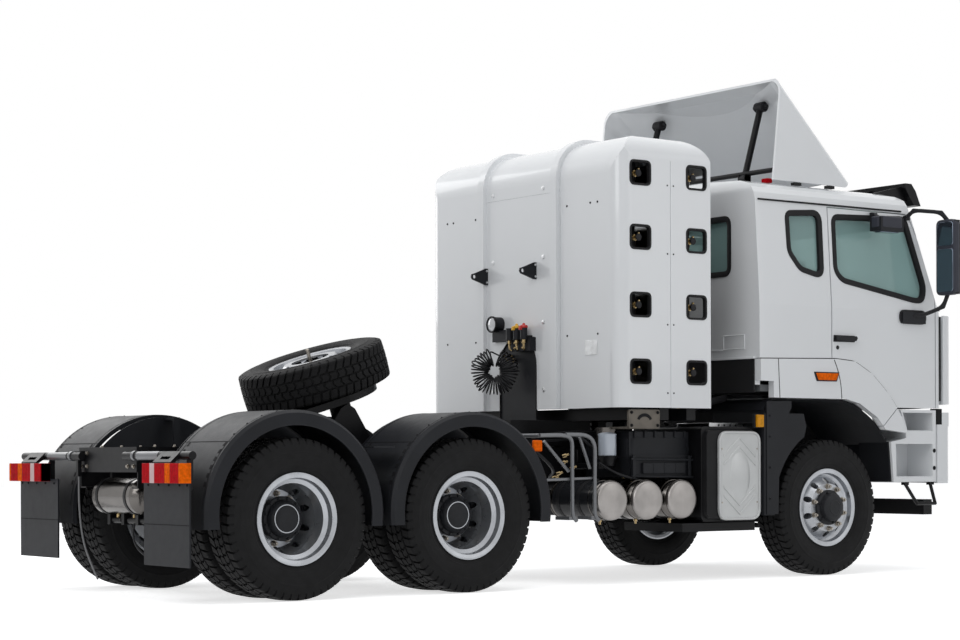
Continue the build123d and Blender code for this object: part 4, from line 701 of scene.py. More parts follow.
# ------------------------ cab corners, gutter and wheel-arch liner
# Dark slots in the corner ahead of each door, a drip rail over the doors, and a black plastic
# liner under the wheel arch with a splash panel behind the wheel.
LINER = ((0.632, 1.04), (0.568, 1.126), (0.449, 1.247), (0.254, 1.353), (0.1, 1.389), (-0.69, 1.391),
    (-0.75, 1.3))
SPLASH = from_axle(((-0.735, 1.372), (-0.47, 1.378), (-0.468, 1.33), (-0.53, 1.225), (-0.572, 1.1),
    (-0.6, 0.95), (-0.612, 0.5), (-0.735, 0.5)))
for hand, side in SIDES:
    path = eased(from_axle(LINER), 0.12)
    run = np.gradient(path, axis=0)
    normal = np.column_stack((-run[:, 1], run[:, 0])) / np.linalg.norm(run, axis=1)[:, None]
    thick = np.vstack((path, (path - 0.006 * normal)[::-1]))
    parts = [prism(thick, "y", side * 0.45, side * 1.198)]
    parts += [block(side, 0.652, 0.66, 0.43, 0.9, 0.62, 1.32),
        prism(from_axle(((0.65, 0.74), (0.663, 0.74), (0.632, 1.062), (0.619, 1.062))), "y", side * 0.895,
        side * 1.215), prism(SPLASH, "y", side * 1.212, side * 1.222),
        block(side, -0.742, -0.728, 0.62, 1.2, 0.5, 1.3)]
    screws = [(FRONT_X - 0.7, side * 1.222, z) for z in (0.62, 0.86, 1.1, 1.26)]
    parts += each(bolt, screws, (0, side, 0), 0.012, 0.008)
    joined(f"arch_liner_{hand}", guard_plastic, parts)
    x = FRONT_X + 1.222
    slots = []
    for low, high in ((1.4, 2.095), (2.14, 2.3)):
        near, far = float(cab_side(x, low)), float(cab_side(x, high))
        slot = prism(((x - 0.015, low), (x + 0.015, low), (x + 0.015, high), (x - 0.015, high)), "y",
            side * (near - 0.006), side * (near + 0.0015))
        slot[0][:, 1] -= side * (near - far) * (slot[0][:, 2] > 0.5 * (low + high))
        slots.append(slot)
    joined(f"corner_slots_{hand}", gap_black, slots, body="cab")
    rail = [(FRONT_X + x, side * 1.199, z) for x, z in ((-0.8, 2.934), (0.0, 2.936), (0.8, 2.938))]
    joined(f"drip_rail_{hand}", window_rubber, [tube(rail, 0.007, 8)], body="cab")

# ------------------------ gas rack fittings
# Rubber-edged windows show the brass valves on the ends of the gas cylinders. Domed bolts and
# quarter-turn latches hold the covers, and a blank plate hangs beside the hose panel.
BACK = (-1, 0, 0)
RACK_SIDE = 1.2
WINDOW_ROWS = (1.577, 2.07, 2.57, 3.045)
WINDOW_COLUMNS = (FRONT_X - 1.995, FRONT_X - 1.44)
NECK_COLUMNS = (FRONT_X - 1.995, FRONT_X - 1.455)


def rack_side(x, z):
    """The rack's flat side."""
    return np.full_like(np.asarray(x, float), RACK_SIDE)


def valve(place, side):
    """A cylinder valve: a hexagon body, a bonnet, a hand wheel, an outlet and a rupture plug."""
    x, y, z = place
    out = (0, side, 0)
    return [rod(0, 0.022, 0.026, place, out, 6),
        turned(((0.02, 0.018), (0.044, 0.018), (0.048, 0.012), (0.062, 0.011)), place, out, 16),
        turned(((0.0, 0.011), (0.046, 0.011), (0.048, 0.007)), (x, y + side * 0.03, z), (0.6, 0, 0.8), 12),
        turned(((0.0, 0.013), (0.03, 0.013), (0.031, 0.008)), (x, y + side * 0.02, z), (-0.7, 0, -0.5), 12)]


brass = finish("brass", (0.44, 0.33, 0.17), 0.28, metallic=1, grain=260, bump=0.08, stain=0.3,
    stain_scale=25)
pale_metal = finish("pale_metal", (0.62, 0.63, 0.64), 0.3, metallic=0.9, stain=0.2, stain_scale=18)
rims, valves, wheels = [], [], []
for side in (-1, 1):
    for z in WINDOW_ROWS:
        for x in WINDOW_COLUMNS:
            rims.append(side_band((x, z) + CORNERS * (0.095, 0.085), side,
                ((0.01, -0.002), (0.009, 0.004), (-0.007, 0.004), (-0.008, -0.026), (0.000, -0.026)), 0.035,
                rack_side))
        for x in NECK_COLUMNS:
            valves += valve((x, side * 1.118, z), side)
            wheels.append(turned(((0.06, 0.024), (0.064, 0.027), (0.07, 0.027), (0.073, 0.022)),
                (x, side * 1.112, z), (0, side, 0), 20))
joined("rack_window_rubbers", window_rubber, rims)
joined("cylinder_valves", brass, valves, bevel=0.001)
joined("valve_wheels", satin_black, wheels)

REAR_BOLTS = [(y, 2.84) for y in (0.956, 0.873, 0.571, -0.591, -0.868, -0.952)]
REAR_BOLTS += [(y, 1.86) for y in (0.956, 0.571, -0.591, -0.952)]
REAR_LATCHES = [(y, z) for y in (0.34, -0.3) for z in (3.006, 2.48, 1.98, 1.46)]
SIDE_STUDS = [(FRONT_X + x, z) for x in (-1.73, -1.67) for z in (2.968, 2.458, 1.93, 1.42)]


def dome(place, axis, radius=0.009):
    """A domed rivet head."""
    return [turned(((-0.001, radius), (radius * 0.35, radius * 0.86), (radius * 0.6, radius * 0.45),
        (radius * 0.66, 0.0008)), place, axis, 14)]


studs = each(dome, [(PANEL_X, y, z) for y, z in REAR_BOLTS], BACK)
for side in (-1, 1):
    studs += each(dome, [(x, side * RACK_SIDE, z) for x, z in SIDE_STUDS], (0, side, 0), 0.007)
joined("rack_studs", satin_black, studs)
latches = []
for y, z in REAR_LATCHES:
    latches += [turned(((-0.001, 0.017), (0.004, 0.017), (0.006, 0.014)), (PANEL_X, y, z), BACK, 24),
        box(PANEL_X - 0.012, PANEL_X - 0.004, y - 0.012, y + 0.012, z - 0.003, z + 0.003)]
joined("rack_latches", pale_metal, latches, bevel=0.001)
plate_line = ((-0.945, 1.705), (-0.805, 1.705), (-0.805, 1.815), (-0.945, 1.815))
joined("blank_plate", pale_metal, [prism(plate_line, "x", PANEL_X - 0.004, PANEL_X + 0.0005)]
    + each(dome, [(PANEL_X - 0.004, -0.875, z) for z in (1.803, 1.717)], BACK, 0.005), bevel=0.0015)

# ------------------------ trailer couplings
# The arched hose panel has a rubber edge. Above it sit a round work lamp, two air couplings with
# coloured covers and a seven-pole socket, and their brass elbows turn down into the coiled lines.
DOWN = (0, 0, -1)
arch_turn = np.linspace(0.0, math.pi, 25)
arch_line = np.column_stack((np.full(25, PANEL_X - 0.002), 0.02 + 0.229 * np.cos(arch_turn),
    1.65 + 0.229 * np.sin(arch_turn)))
edge_line = np.vstack(([(PANEL_X - 0.002, 0.249, 1.24)], arch_line, [(PANEL_X - 0.002, -0.209, 1.24)]))
trim = [tube(edge_line, 0.006, 8)]
lamp_face = (PANEL_X - 0.08, 0.249, 1.986)
trim += [turned(((-0.006, 0.0615), (-0.002, 0.066), (0.01, 0.066), (0.014, 0.062), (0.014, 0.056),
    (-0.006, 0.056)), lamp_face, BACK, 40, closed=True),
    tube([(PANEL_X - 0.03, 0.249, 1.93), (PANEL_X - 0.03, 0.249, 1.9)], 0.01, 10)]
COUPLINGS_Y = (-0.15, -0.06, 0.03)
for y in COUPLINGS_Y:
    trim += [turned(((-0.005, 0.03), (0.004, 0.03)), (PANEL_X - 0.075, y, 1.855), DOWN, 24),
        box(PANEL_X - 0.05, PANEL_X - 0.002, y - 0.016, y + 0.016, 1.87, 1.885)]
joined("coupling_trim", window_rubber, trim, bevel=0.0015)
lamp_glass = finish("lamp_glass", (0.55, 0.56, 0.58), 0.08, metallic=0.2, grain=120, bump=0.15, stain=0.1,
    coat=0.8)
joined("work_lamp_lens", lamp_glass,
    [turned(((-0.004, 0.056), (0.004, 0.055), (0.01, 0.042), (0.014, 0.022), (0.015, 0.001)), lamp_face,
    BACK, 40)])
COVER = ((-0.004, 0.031), (0.01, 0.032), (0.016, 0.027), (0.019, 0.012), (0.03, 0.01), (0.034, 0.003))
for colour, paint, y in (("yellow", (0.75, 0.42, 0.02), -0.06), ("red", (0.55, 0.02, 0.015), -0.15)):
    joined(f"coupling_cover_{colour}", finish(f"cover_{colour}", paint, 0.35, grain=300,
        stain=0.2), [turned(COVER, (PANEL_X - 0.075, y, 1.945), UP, 28),
        box(PANEL_X - 0.118, PANEL_X - 0.098, y - 0.012, y + 0.012, 1.925, 1.955)], bevel=0.002)
elbows = []
for y, z in ((0.095, 1.732), (0.055, 1.7)):
    elbows += [rod(0, 0.018, 0.016, (PANEL_X - 0.004, y, z), BACK, 6),
        rod(0, 0.022, 0.0135, (STUB_X + 0.034, y, z), BACK, 6)]
for y in COUPLINGS_Y:
    elbows += [turned(((0.0, 0.015), (0.03, 0.015), (0.032, 0.01), (0.052, 0.01)),
        (PANEL_X - 0.075, y, 1.855), DOWN, 6),
        tube([(PANEL_X - 0.075, y, 1.81), (PANEL_X - 0.075, y, 1.782), (PANEL_X - 0.058, y * 0.9, 1.772)],
        0.008, 10, 0.02)]
elbows += each(bolt, [(PANEL_X - 0.06, y, z) for y in (-0.12, -0.02) for z in (1.83, 1.79)], BACK, 0.014,
    0.009)
joined("coupling_fittings", brass, elbows, bevel=0.001)
pegs = []
for y, z in ((0.414, 2.374), (-0.209, 2.379)):
    for high in (-0.045, 0.045):
        for step in (-1, 1):
            pegs += bolt((PANEL_X - 0.012, y + step * 0.007, z + high), (0, step, 0), 0.012, 0.006)
joined("hook_bolts", pale_metal, pegs)

# ------------------------ tail lamps
# Each rear lamp is one box with red, clear and amber fields, each moulded with upright ribs.
LENS_INNER_Y = 0.76
LENS_Z = (0.7835, 0.9115)
TAIL_FIELDS = (
    # start and end from the lamp's inner end, lens
    (0.000, 0.1, "red"), (0.103, 0.163, "clear"), (0.166, 0.303, "red"), (0.306, 0.371, "amber"),
    (0.374, 0.488, "red"), (0.491, 0.513, "amber"),
)
clear_lens = finish("clear_lens", (0.7, 0.5, 0.5), 0.2, grain=200, bump=0.1, stain=0.1, gloss=0.3)
lamp_housing = finish("lamp_housing", (0.018, 0.018, 0.02), 0.5, grain=600)
dress(lamp_housing, "lamps")
LENSES = {"red": red_lens, "clear": clear_lens, "amber": amber_lens}
for hand, side in SIDES:
    for lens, material in LENSES.items():
        parts = []
        for start, end, kind in TAIL_FIELDS:
            if kind == lens:
                inner, outer = side * (LENS_INNER_Y + start), side * (LENS_INNER_Y + end)
                parts.append(box(TAIL_X - 0.008, TAIL_X + 0.071, inner, outer, *LENS_Z))
                for rib in np.linspace(inner, outer, 6)[1:-1]:
                    parts.append(box(TAIL_X - 0.0095, TAIL_X - 0.006, rib - 0.003, rib + 0.003, 0.79,
                        0.905))
        joined(f"tail_lens_{lens}_{hand}", material, parts, bevel=0.003)

# ------------------------ frame end, tail tube and rear air tank
# Bolts and small brackets cover the rear cross member. Two steel straps hold the air tank below
# it, with drain valves and a plastic air line looping under.
RAIL_END_X = -3.5575
WEB_BOLTS_X = (-3.46, -3.36, -3.18, -3.06, -2.62, -2.48, -1.78, -1.62, -0.9, -0.72, -0.2, 0.35)
FLANGE_BOLTS_X = (-3.4, -3.25, -3.1, -2.55, -2.4, -1.75, -1.6, -1.1, -0.95)
ends = each(bolt, [(RAIL_END_X, y, z) for y in (-0.385, -0.3, 0.3, 0.385) for z in (0.89, 0.98)], BACK,
    0.02)
sleeves = []
for side in (-1, 1):
    ends += each(bolt, [(x, side * 0.425, z) for x in WEB_BOLTS_X for z in (0.79, 0.97)], (0, side, 0),
        0.02)
    ends += each(bolt, [(x, side * 0.385, 1.02) for x in FLANGE_BOLTS_X], UP, 0.018)
    for y, radius, length in ((0.52, 0.0292, 0.3), (0.455, 0.034, 0.03)):
        sleeves.append(rod(0, length, radius, (TAIL_X + 0.1, side * y, 0.96), (0, side, 0), 28))
joined("frame_bolts", nut_steel, ends)
tube_grey = finish("tube_grey", (0.16, 0.165, 0.175), 0.34, metallic=0.3, bump=0.08)
joined("tail_tube_sleeves", tube_grey, sleeves)
TANK_X, TANK_Z, TANK_R = FRONT_X - 5.6, 0.685, 0.125
TRAY_Z = 0.52
straps = []
for y in (-0.205, 0.205):
    straps += [hoop(0.016, TANK_R - 0.001, TANK_R + 0.004, (TANK_X, y, TANK_Z)),
        box(TANK_X - 0.012, TANK_X + 0.012, y - 0.016, y + 0.016, TANK_Z + TANK_R - 0.01, 0.86)]
for y in (-0.31, 0.31):
    straps.append(turned(((0, 0.035), (0.016, 0.034), (0.026, 0.018)), (TANK_X, y, TANK_Z), (0, y, 0), 24))
for y0, y1 in ((-0.3, -0.05), (0.05, 0.24)):
    straps.append(tube([(TANK_X, y0, TRAY_Z), (TANK_X, y1, TRAY_Z)], 0.022, 16))
for y in (-0.205, 0.0, 0.205):
    straps.append(box(TANK_X - 0.03, TANK_X + 0.03, y - 0.02, y + 0.02, 0.49, 0.575))
joined("rear_tank_straps", chassis_paint, straps, bevel=0.0015)
taps = [rod(0, 0.05, 0.012, (TANK_X - 0.02, -0.315, 0.72), (0, -1, 0), 8)]
for y, z in ((-0.315, TRAY_Z), (-0.12, 0.563), (0.12, 0.563)):
    taps.append(turned(((0, 0.013), (0.024, 0.013), (0.028, 0.008), (0.045, 0.008)), (TANK_X, y, z), DOWN,
        8))
joined("rear_tank_taps", brass, taps, bevel=0.001)
joined("rear_air_line", hose_nylon,
    [tube([(TANK_X, -0.12, 0.51), (TANK_X - 0.02, -0.125, 0.42), (TANK_X - 0.02, -0.19, 0.33),
    (TANK_X, -0.33, 0.27), (TANK_X + 0.08, -0.47, 0.26), (TANK_X + 0.4, -0.5, 0.36),
    (TANK_X + 0.5, -0.47, 0.52)], 0.0075, 10, 0.06)])

# ------------------------ mudguard trim
# Each half-round guard is made of three plastic parts with an inner skirt. Their joints, the
# slotted clips along both edges and the rolled outer lip show, and the flap below has a fold.
GUARD_MIDDLES = (REAR_X[0] + 0.015, REAR_X[1] - 0.025)
GUARD_Z, GUARD_R = 0.57, 0.69
LIP_R = 0.592
JOINT_TURNS = (44, 136)
CLIP_TURNS = (*range(16, 42, 5), *range(140, 162, 5))


def guard_arc(middle, reach, first, last, count):
    """(x, z) pairs on a circle about the guard's middle, turned from the rear."""
    turn = np.radians(np.linspace(first, last, count))
    return np.column_stack((middle - reach * np.cos(turn), GUARD_Z + reach * np.sin(turn)))


def guard_strip(middle, y0, y1, first, last, lift, count):
    """A strip on the guard's round top, `lift` proud of it, between two planes across the vehicle."""
    corners = ((GUARD_R - 0.002, y0), (GUARD_R + lift, y0), (GUARD_R + lift, y1), (GUARD_R - 0.002, y1))
    rows = [np.insert(guard_arc(middle, reach, first, last, count), 1, y, 1) for reach, y in corners]
    return np.stack(rows, 1).reshape(-1, 3), grid_faces(count, 4)


lines, lips, skirts = [], [], []
for side in (-1, 1):
    for middle in GUARD_MIDDLES:
        for y in (1.205, 0.676):
            lines.append(guard_strip(middle, side * y, side * (y + 0.004), 4, 172, 0.0012, 72))
        for turn in JOINT_TURNS:
            lines.append(guard_strip(middle, side * 0.642, side * 1.228, turn, turn + 0.35, 0.0014, 2))
        for turn in CLIP_TURNS:
            for y in (1.176, 0.7):
                lines.append(guard_strip(middle, side * y, side * (y + 0.022), turn, turn + 2.6, 0.0016, 4))
        for x, z in guard_arc(middle, GUARD_R, 50, 130, 9):
            lines += dome((x, side * 1.19, z), (x - middle, 0, z - GUARD_Z), 0.007)
        lips.append(tube(np.insert(guard_arc(middle, LIP_R, -6.5, 186.5, 80), 1, side * 1.246, 1), 0.0055,
            8))
        skirt = (guard_arc(middle, 0.672, 18, 162, 40), guard_arc(middle, 0.43, 162, 18, 40))
        skirts.append(prism(np.vstack(skirt), "y", side * 0.57, side * 0.576))
joined("guard_skirts", guard_plastic, skirts)
joined("guard_joints", gap_black, lines)
joined("guard_lips", guard_plastic, lips)
folds = []
for side in (-1, 1):
    folds.append(box(TAIL_X + 0.0665, TAIL_X + 0.0702, side * 0.645, side * 1.245, 0.512, 0.516))
    folds += each(dome, [(TAIL_X + 0.07, side * y, 0.77) for y in (0.7, 0.84, 0.98, 1.12, 1.22)], BACK)
joined("flap_folds", gap_black, folds)

# ------------------------ air tanks and their guard pipes
# Polished end caps with a weld ring, steel straps, drain taps, bent guard pipes over the first
# tank, which is painted black, a pale filter canister beside them, and the hoses behind.
SIDE_TANKS = (FRONT_X - 2.21, FRONT_X - 1.862, FRONT_X - 1.52)
SIDE_TANK_Z = 0.625
PIPE_RADIUS = 0.0145
FILTER = (FRONT_X - 2.09, -0.925, 0.952)
bands, seams, taps = [], [], []
for x in SIDE_TANKS:
    for y in (-0.66, -0.9):
        bands += [hoop(0.018, 0.1445, 0.1495, (x, y, SIDE_TANK_Z)),
            box(x - 0.012, x + 0.012, y - 0.014, y + 0.014, 0.765, 0.8)]
        bands += bolt((x, y, 0.8), UP, 0.016)
    seams += [hoop(0.004, 0.1435, 0.1485, (x, y, SIDE_TANK_Z)) for y in (-1.1, -1.02, -0.565)]
    taps += [turned(((0.0, 0.016), (0.018, 0.016), (0.022, 0.009), (0.04, 0.009)), (x, -0.98, 0.484), DOWN,
        8), rod(0, 0.024, 0.012, (x + 0.03, -0.8, 0.765), UP, 6)]
cap_steel = finish("cap_steel", (0.3, 0.285, 0.275), 0.36, metallic=1, grain=300, bump=0.03, stain=0.2,
    stain_scale=7)
END_CAP = ((0.526, 0.1462), (0.53, 0.1466), (0.545, 0.1455), (0.557, 0.136), (0.563, 0.118), (0.568, 0.07),
    (0.57, 0.002))
joined("tank_end_caps", cap_steel, [turned(END_CAP, (x, -0.576, SIDE_TANK_Z), (0, -1, 0), 64)
    for x in SIDE_TANKS])
tank_black = finish("tank_black", (0.02, 0.021, 0.024), 0.22, bump=0.03, coat=0.15)
joined("tank_bands", satin_black, bands, bevel=0.001)
joined("tank_seams", tank_metal, seams)
joined("tank_taps", brass, taps, bevel=0.001)
joined("first_tank_paint", tank_black,
    [rod(-0.5, -0.035, 0.1462, (SIDE_TANKS[0], -0.56, SIDE_TANK_Z), LEFT, 64)])


def at_side(y, *places):
    """Places at one distance from the middle, given as (x from the front axle, z)."""
    return [(FRONT_X + x, y, z) for x, z in places]


pipes = [tube(at_side(-1.14, (-2.9, 1.1), (-2.685, 1.103), (-2.6, 1.085), (-2.6, 0.52), (-2.56, 0.48)),
    PIPE_RADIUS, 14, 0.06),
    tube(at_side(-1.14, (-2.66, 1.107), (-2.46, 1.107), (-2.385, 1.05), (-2.392, 0.52), (-2.35, 0.48)),
    PIPE_RADIUS, 14, 0.07),
    tube([(FRONT_X - 2.9, -1.14, 1.1), (FRONT_X - 2.93, -0.8, 1.1), (FRONT_X - 2.93, -0.43, 1.0)],
    PIPE_RADIUS, 14, 0.08)]
for y, radius, *ends in ((-1.1, 0.0115, (-2.83, 1.06), (-2.6, 0.84)),
                         (-1.1, 0.0115, (-2.5, 1.09), (-2.4, 0.86)),
                         (-1.12, 0.01, (-2.86, 0.78), (-2.4, 0.79))):
    pipes.append(tube(at_side(y, *ends), radius, 10))
for x, y, z in ((-2.6, -1.14, 0.5), (-2.392, -1.14, 0.5), (-2.93, -0.45, 1.0)):
    pipes.append(box(FRONT_X + x - 0.03, FRONT_X + x + 0.03, y, y + 0.16, z - 0.012, z + 0.012))
joined("guard_pipes", tube_grey, pipes)
canister = finish("canister", (0.52, 0.57, 0.64), 0.25, bump=0.03, coat=0.5)
CANISTER = ((0.0, 0.062), (0.008, 0.0675), (0.15, 0.0675), (0.158, 0.07), (0.164, 0.07), (0.168, 0.064),
    (0.176, 0.04), (0.178, 0.002))
joined("filter_canister", canister, [turned(CANISTER, FILTER, UP, 40)])
base_parts = [turned(((-0.075, 0.05), (-0.03, 0.06), (0.002, 0.078)), FILTER, UP, 32),
    block(1, -2.15, -2.06, -0.9, -0.43, 0.855, 0.9), block(1, -2.13, -2.08, -0.62, -0.43, 0.9, 1.0)]
joined("filter_base", chassis_paint, base_parts, bevel=0.004)
HOSES = (
    # radius, sides, bend, points
    (0.011, 10, 0.08, (-0.72, -1.02, 1.02), (-0.6, -1.06, 0.93), (-0.46, -1.00, 0.84), (-0.42, -0.88, 0.8)),
    (0.01, 10, 0.08, (-0.62, -0.93, 1.09), (-0.42, -0.99, 1.11), (-0.2, -0.96, 1.1), (0.0, -0.86, 1.02)),
    (0.009, 10, 0.06, (0.0, -0.95, 0.9), (0.05, -1.03, 0.84), (0.2, -1.05, 0.79), (0.38, -1.0, 0.77)),
    (0.013, 10, 0.15, (-0.35, -0.6, 1.1), (0.1, -0.62, 1.14), (0.55, -0.6, 1.12), (1.0, -0.56, 1.16),
     (1.3, -0.54, 1.22)),
    (0.01, 10, 0.15, (-0.35, -0.58, 1.06), (0.2, -0.585, 1.09), (0.75, -0.58, 1.09), (1.32, -0.56, 1.16)),
    (0.028, 16, 0.12, (0.86, -0.8, 1.24), (1.02, -0.86, 1.33), (1.22, -0.88, 1.38), (1.36, -0.84, 1.4)),
    (0.02, 12, 0.1, (0.95, -0.62, 1.2), (1.1, -0.58, 1.36), (1.16, -0.5, 1.52)),
)
hoses = [tube(route, radius, around, bend) for radius, around, bend, *route in HOSES]
joined("side_hoses", hose_nylon, hoses)
FITTINGS = ((-0.44, -1.05, 0.9), (-0.47, -1.03, 0.82), (-0.42, -1.04, 0.95), (-0.5, -1.02, 0.79),
    (0.86, -0.83, 1.3), (0.95, -0.86, 1.36), (0.9, -0.8, 1.4), (0.99, -0.82, 1.3), (-0.3, -0.98, 0.86),
    (0.3, -0.95, 0.78))
FITTING = ((0.0, 0.013), (0.03, 0.013), (0.033, 0.008), (0.05, 0.008))
small_brass = [turned(FITTING, place, (0.5, -0.8, 0.3), 6) for place in FITTINGS]
joined("line_fittings", brass, small_brass, bevel=0.001)

# ------------------------ battery cover, brackets and silencer
# A ribbed plastic cover clipped over the battery box with a tray below it, a grey cast bracket
# with a curved slot above, and the stainless silencer with a pressed chevron face.
rows = []
for inset, z in ((0.0, 0.942), (0.0, 1.072), (0.012, 1.112), (0.04, 1.134), (0.1, 1.14)):
    rear, front = FRONT_X - 1.955 + inset, FRONT_X - 1.35 - inset
    corners = [(rear, -1.018 + inset), (front, -1.018 + inset), (front, -0.505), (rear, -0.505)]
    rows.append(np.insert(eased(corners, 0.05, 5, loop=True), 2, z, 1))
cover = [(np.vstack(rows), grid_faces(len(rows), len(rows[0]))),
    tube(at_side(-1.045, (-1.96, 0.93), (-1.33, 0.92)), 0.009, 10),
    tube(at_side(-1.045, (-1.95, 0.8), (-1.34, 0.79)), 0.009, 10),
    block(1, -1.84, -1.42, -1.047, -1.02, 0.82, 0.9)]
COVER_RIBS = ((np.linspace(-1.9, -1.4, 6), 0.006, (-1.021, -0.6, 1.09, 1.143)),
    ((-1.93, -1.375), 0.014, (-1.05, -1.02, 0.78, 0.955)),
    ((-1.74, -1.63, -1.52), 0.004, (-1.051, -1.045, 0.825, 0.895)))
for columns, half, limits in COVER_RIBS:
    cover += [box(FRONT_X + x - half, FRONT_X + x + half, *limits) for x in columns]
joined("battery_cover", guard_plastic, cover, bevel=0.003)
BRACKET = from_axle(((-2.098, 1.153), (-1.795, 1.153), (-1.795, 1.297), (-2.098, 1.297)))
bracket_grey = finish("bracket_grey", (0.115, 0.1, 0.082), 0.5, metallic=0.3, grain=260, bump=0.2,
    stain=0.3, stain_scale=12)
turn = np.radians(np.linspace(20, 160, 16))
SLOT_MIDDLE = (FRONT_X - 1.947, 1.205)
slot_edges = [np.column_stack((np.cos(turn), np.sin(turn))) * reach + SLOT_MIDDLE
    for reach in ((0.075, 0.062), (0.055, 0.038))]
joined("cast_bracket", bracket_grey,
    [prism(eased(BRACKET, 0.02, 5, True), "y", -1.185, -1.16),
    block(1, -2.06, -1.83, -1.162, -0.9, 1.153, 1.17)], bevel=0.004)
bracket_dark = [prism(np.vstack((slot_edges[0], slot_edges[1][::-1])), "y", -1.188, -1.184)]
bracket_dark += each(bolt, at_side(-1.185, (-2.074, 1.178), (-1.819, 1.178), (-2.074, 1.274),
    (-1.819, 1.274)), (0, -1, 0))
joined("bracket_slot", gap_black, bracket_dark)

SILENCER = np.array((FRONT_X - 0.985, 0.8))
SILENCER_FACE = -1.182
steel_pale = finish("steel_pale", (0.52, 0.53, 0.53), 0.38, metallic=0.35, grain=500, bump=0.03, stain=0.1,
    stain_scale=5)
rim_loop = eased(SILENCER + CORNERS * (0.208, 0.33), 0.08, 7, loop=True)
rim = [np.insert(offset_loop(rim_loop, outwards), 1, SILENCER_FACE + lift, 1)
    for outwards, lift in ((0.013, 0.012), (0.0078, -0.01), (-0.0078, -0.01), (-0.013, 0.012))]
turn = 2 * math.pi * np.arange(48) / 48
oval = [np.insert(SILENCER + share * np.column_stack((0.112 * np.cos(turn), 0.185 * np.sin(turn))), 1,
    SILENCER_FACE - lift, 1) for share, lift in ((1.0, -0.001), (0.86, 0.006), (0.62, 0.013), (0.34, 0.017),
    (0.02, 0.018))]
plate = eased(SILENCER + CORNERS * (0.214, 0.336), 0.08, 7, loop=True)
face_parts = [(np.vstack(rim), grid_faces(4, len(rim_loop), closed=True)),
    (np.vstack(oval), grid_faces(5, 48)), prism(plate, "y", SILENCER_FACE + 0.045, SILENCER_FACE - 0.001)]
for up in (-1, 1):
    for start in (0.09, 0.155):
        line = SILENCER + ((-0.165, up * (start - 0.005)), (0, up * (start + 0.135)),
            (0.165, up * (start - 0.005)))
        wide = np.vstack((line + (0, 0.011), (line - (0, 0.011))[::-1]))
        face_parts.append(prism(wide, "y", SILENCER_FACE + 0.001, SILENCER_FACE - 0.006))
joined("silencer_face", steel_pale, face_parts, bevel=0.004)
rivets = each(dome, [(x, SILENCER_FACE - 0.001, z) for x, z in SILENCER + CORNERS * (0.183, 0.205)],
    (0, -1, 0), 0.007)
rivets += each(dome, [(FRONT_X - 1.345, y, z) for y in (-0.7, -0.88) for z in (0.56, 0.72, 0.88, 1.04)],
    BACK, 0.007)
joined("silencer_rivets", nut_steel, rivets)
hanger = [box(FRONT_X - 1.117, FRONT_X - 0.662, *limits) for limits in ((-0.985, -0.975, 1.17, 1.205),
    (-0.62, -0.61, 1.17, 1.205), (-0.985, -0.61, 1.199, 1.207))]
joined("silencer_hanger", pale_metal, hanger, bevel=0.003)
holes = [rod(-0.001, 0.001, 0.009, (FRONT_X + x, -0.9855, 1.188), (0, -1, 0))
    for x in (-1.02, -0.96, -0.9, -0.84, -0.76)]
joined("hanger_holes", gap_black, holes)
for hand, side in SIDES:
    joined(f"side_lamp_{hand}", finish(f"side_amber_{hand}", (0.72, 0.3, 0.006), 0.3, grain=200,
        bump=0.1, stain=0.25, stain_scale=40, gloss=0.2),
        [block(side, -0.824, -0.756, 1.19, 1.215, 1.172, 1.268)], bevel=0.004)
    joined(f"side_lamp_base_{hand}", satin_black,
        [block(side, -0.835, -0.748, 1.165, 1.192, 1.165, 1.275),
        block(side, -0.82, -0.75, 0.88, 1.17, 1.2, 1.212)], bevel=0.003)

# ------------------------ steps, corner wings and front
# The step boxes have ridged treads and two plug holes, and a white wing guides air round each cab
# corner over the bumper's end cap. Rubber holds the windscreen and rear panes, and clear lenses
# close the head lamps.
SCREEN_HALF = 1.04
TREAD_PITCH, TREAD_WIDTH = 0.024, 0.013
NOSE_RADIUS = 4.175
BUMPER_RADIUS = 5.555


def front_face(y, z):
    """The bowed front: x = nose - (R - sqrt(R^2 - y^2)), carried back FRONT_LEAN per metre over the belt."""
    bow = NOSE_RADIUS - np.sqrt(NOSE_RADIUS ** 2 - np.asarray(y, float) ** 2)
    return FRONT_X + 1.45 - bow - FRONT_LEAN * np.maximum(np.asarray(z, float) - BELT_Z, 0.0)


def rear_face(y, z):
    """The flat back wall, measured backwards."""
    return 0.83 - FRONT_X + 0.0 * np.asarray(y, float)


def across(band):
    """A side band turned to lie across the cab."""
    return band[0][:, [1, 0, 2]], band[1]


low = [(y, 2.15) for y in np.linspace(-SCREEN_HALF, SCREEN_HALF, 25)]
high = [(y, 2.865) for y in np.linspace(SCREEN_HALF, -SCREEN_HALF, 25)]
panes = [across(side_band(low + high, 1, RUBBER_RINGS, 0.03, front_face))]
for side in (-1, 1):
    pane = [(side * y, z) for y, z in ((0.33, 2.38), (0.9, 2.38), (0.9, 2.8), (0.33, 2.8))]
    panes.append(across(side_band(pane, -1, RUBBER_RINGS, 0.05, rear_face)))
joined("screen_rubber", window_rubber, panes, body="cab")
lenses = []
for side in (-1, 1):
    sweep = np.linspace(0.708, 1.072, 16)
    bow = FRONT_X + 1.5 - (BUMPER_RADIUS - np.sqrt(BUMPER_RADIUS ** 2 - sweep ** 2))
    outline = np.vstack((np.column_stack((bow + 0.003, side * sweep)),
        np.column_stack((bow - 0.01, side * sweep))[::-1]))
    lenses.append(prism(outline, "z", 0.888, 1.052))
joined("head_lamp_lenses", lamp_glass, lenses, bevel=0.002)
WING_OUTSIDE = from_axle(((1.262, 1.238), (1.335, 1.226), (1.38, 1.195), (1.398, 1.14), (1.402, 1.025)))
WING_INSIDE = from_axle(((1.378, 1.025), (1.374, 1.13), (1.36, 1.174), (1.325, 1.2), (1.262, 1.21)))
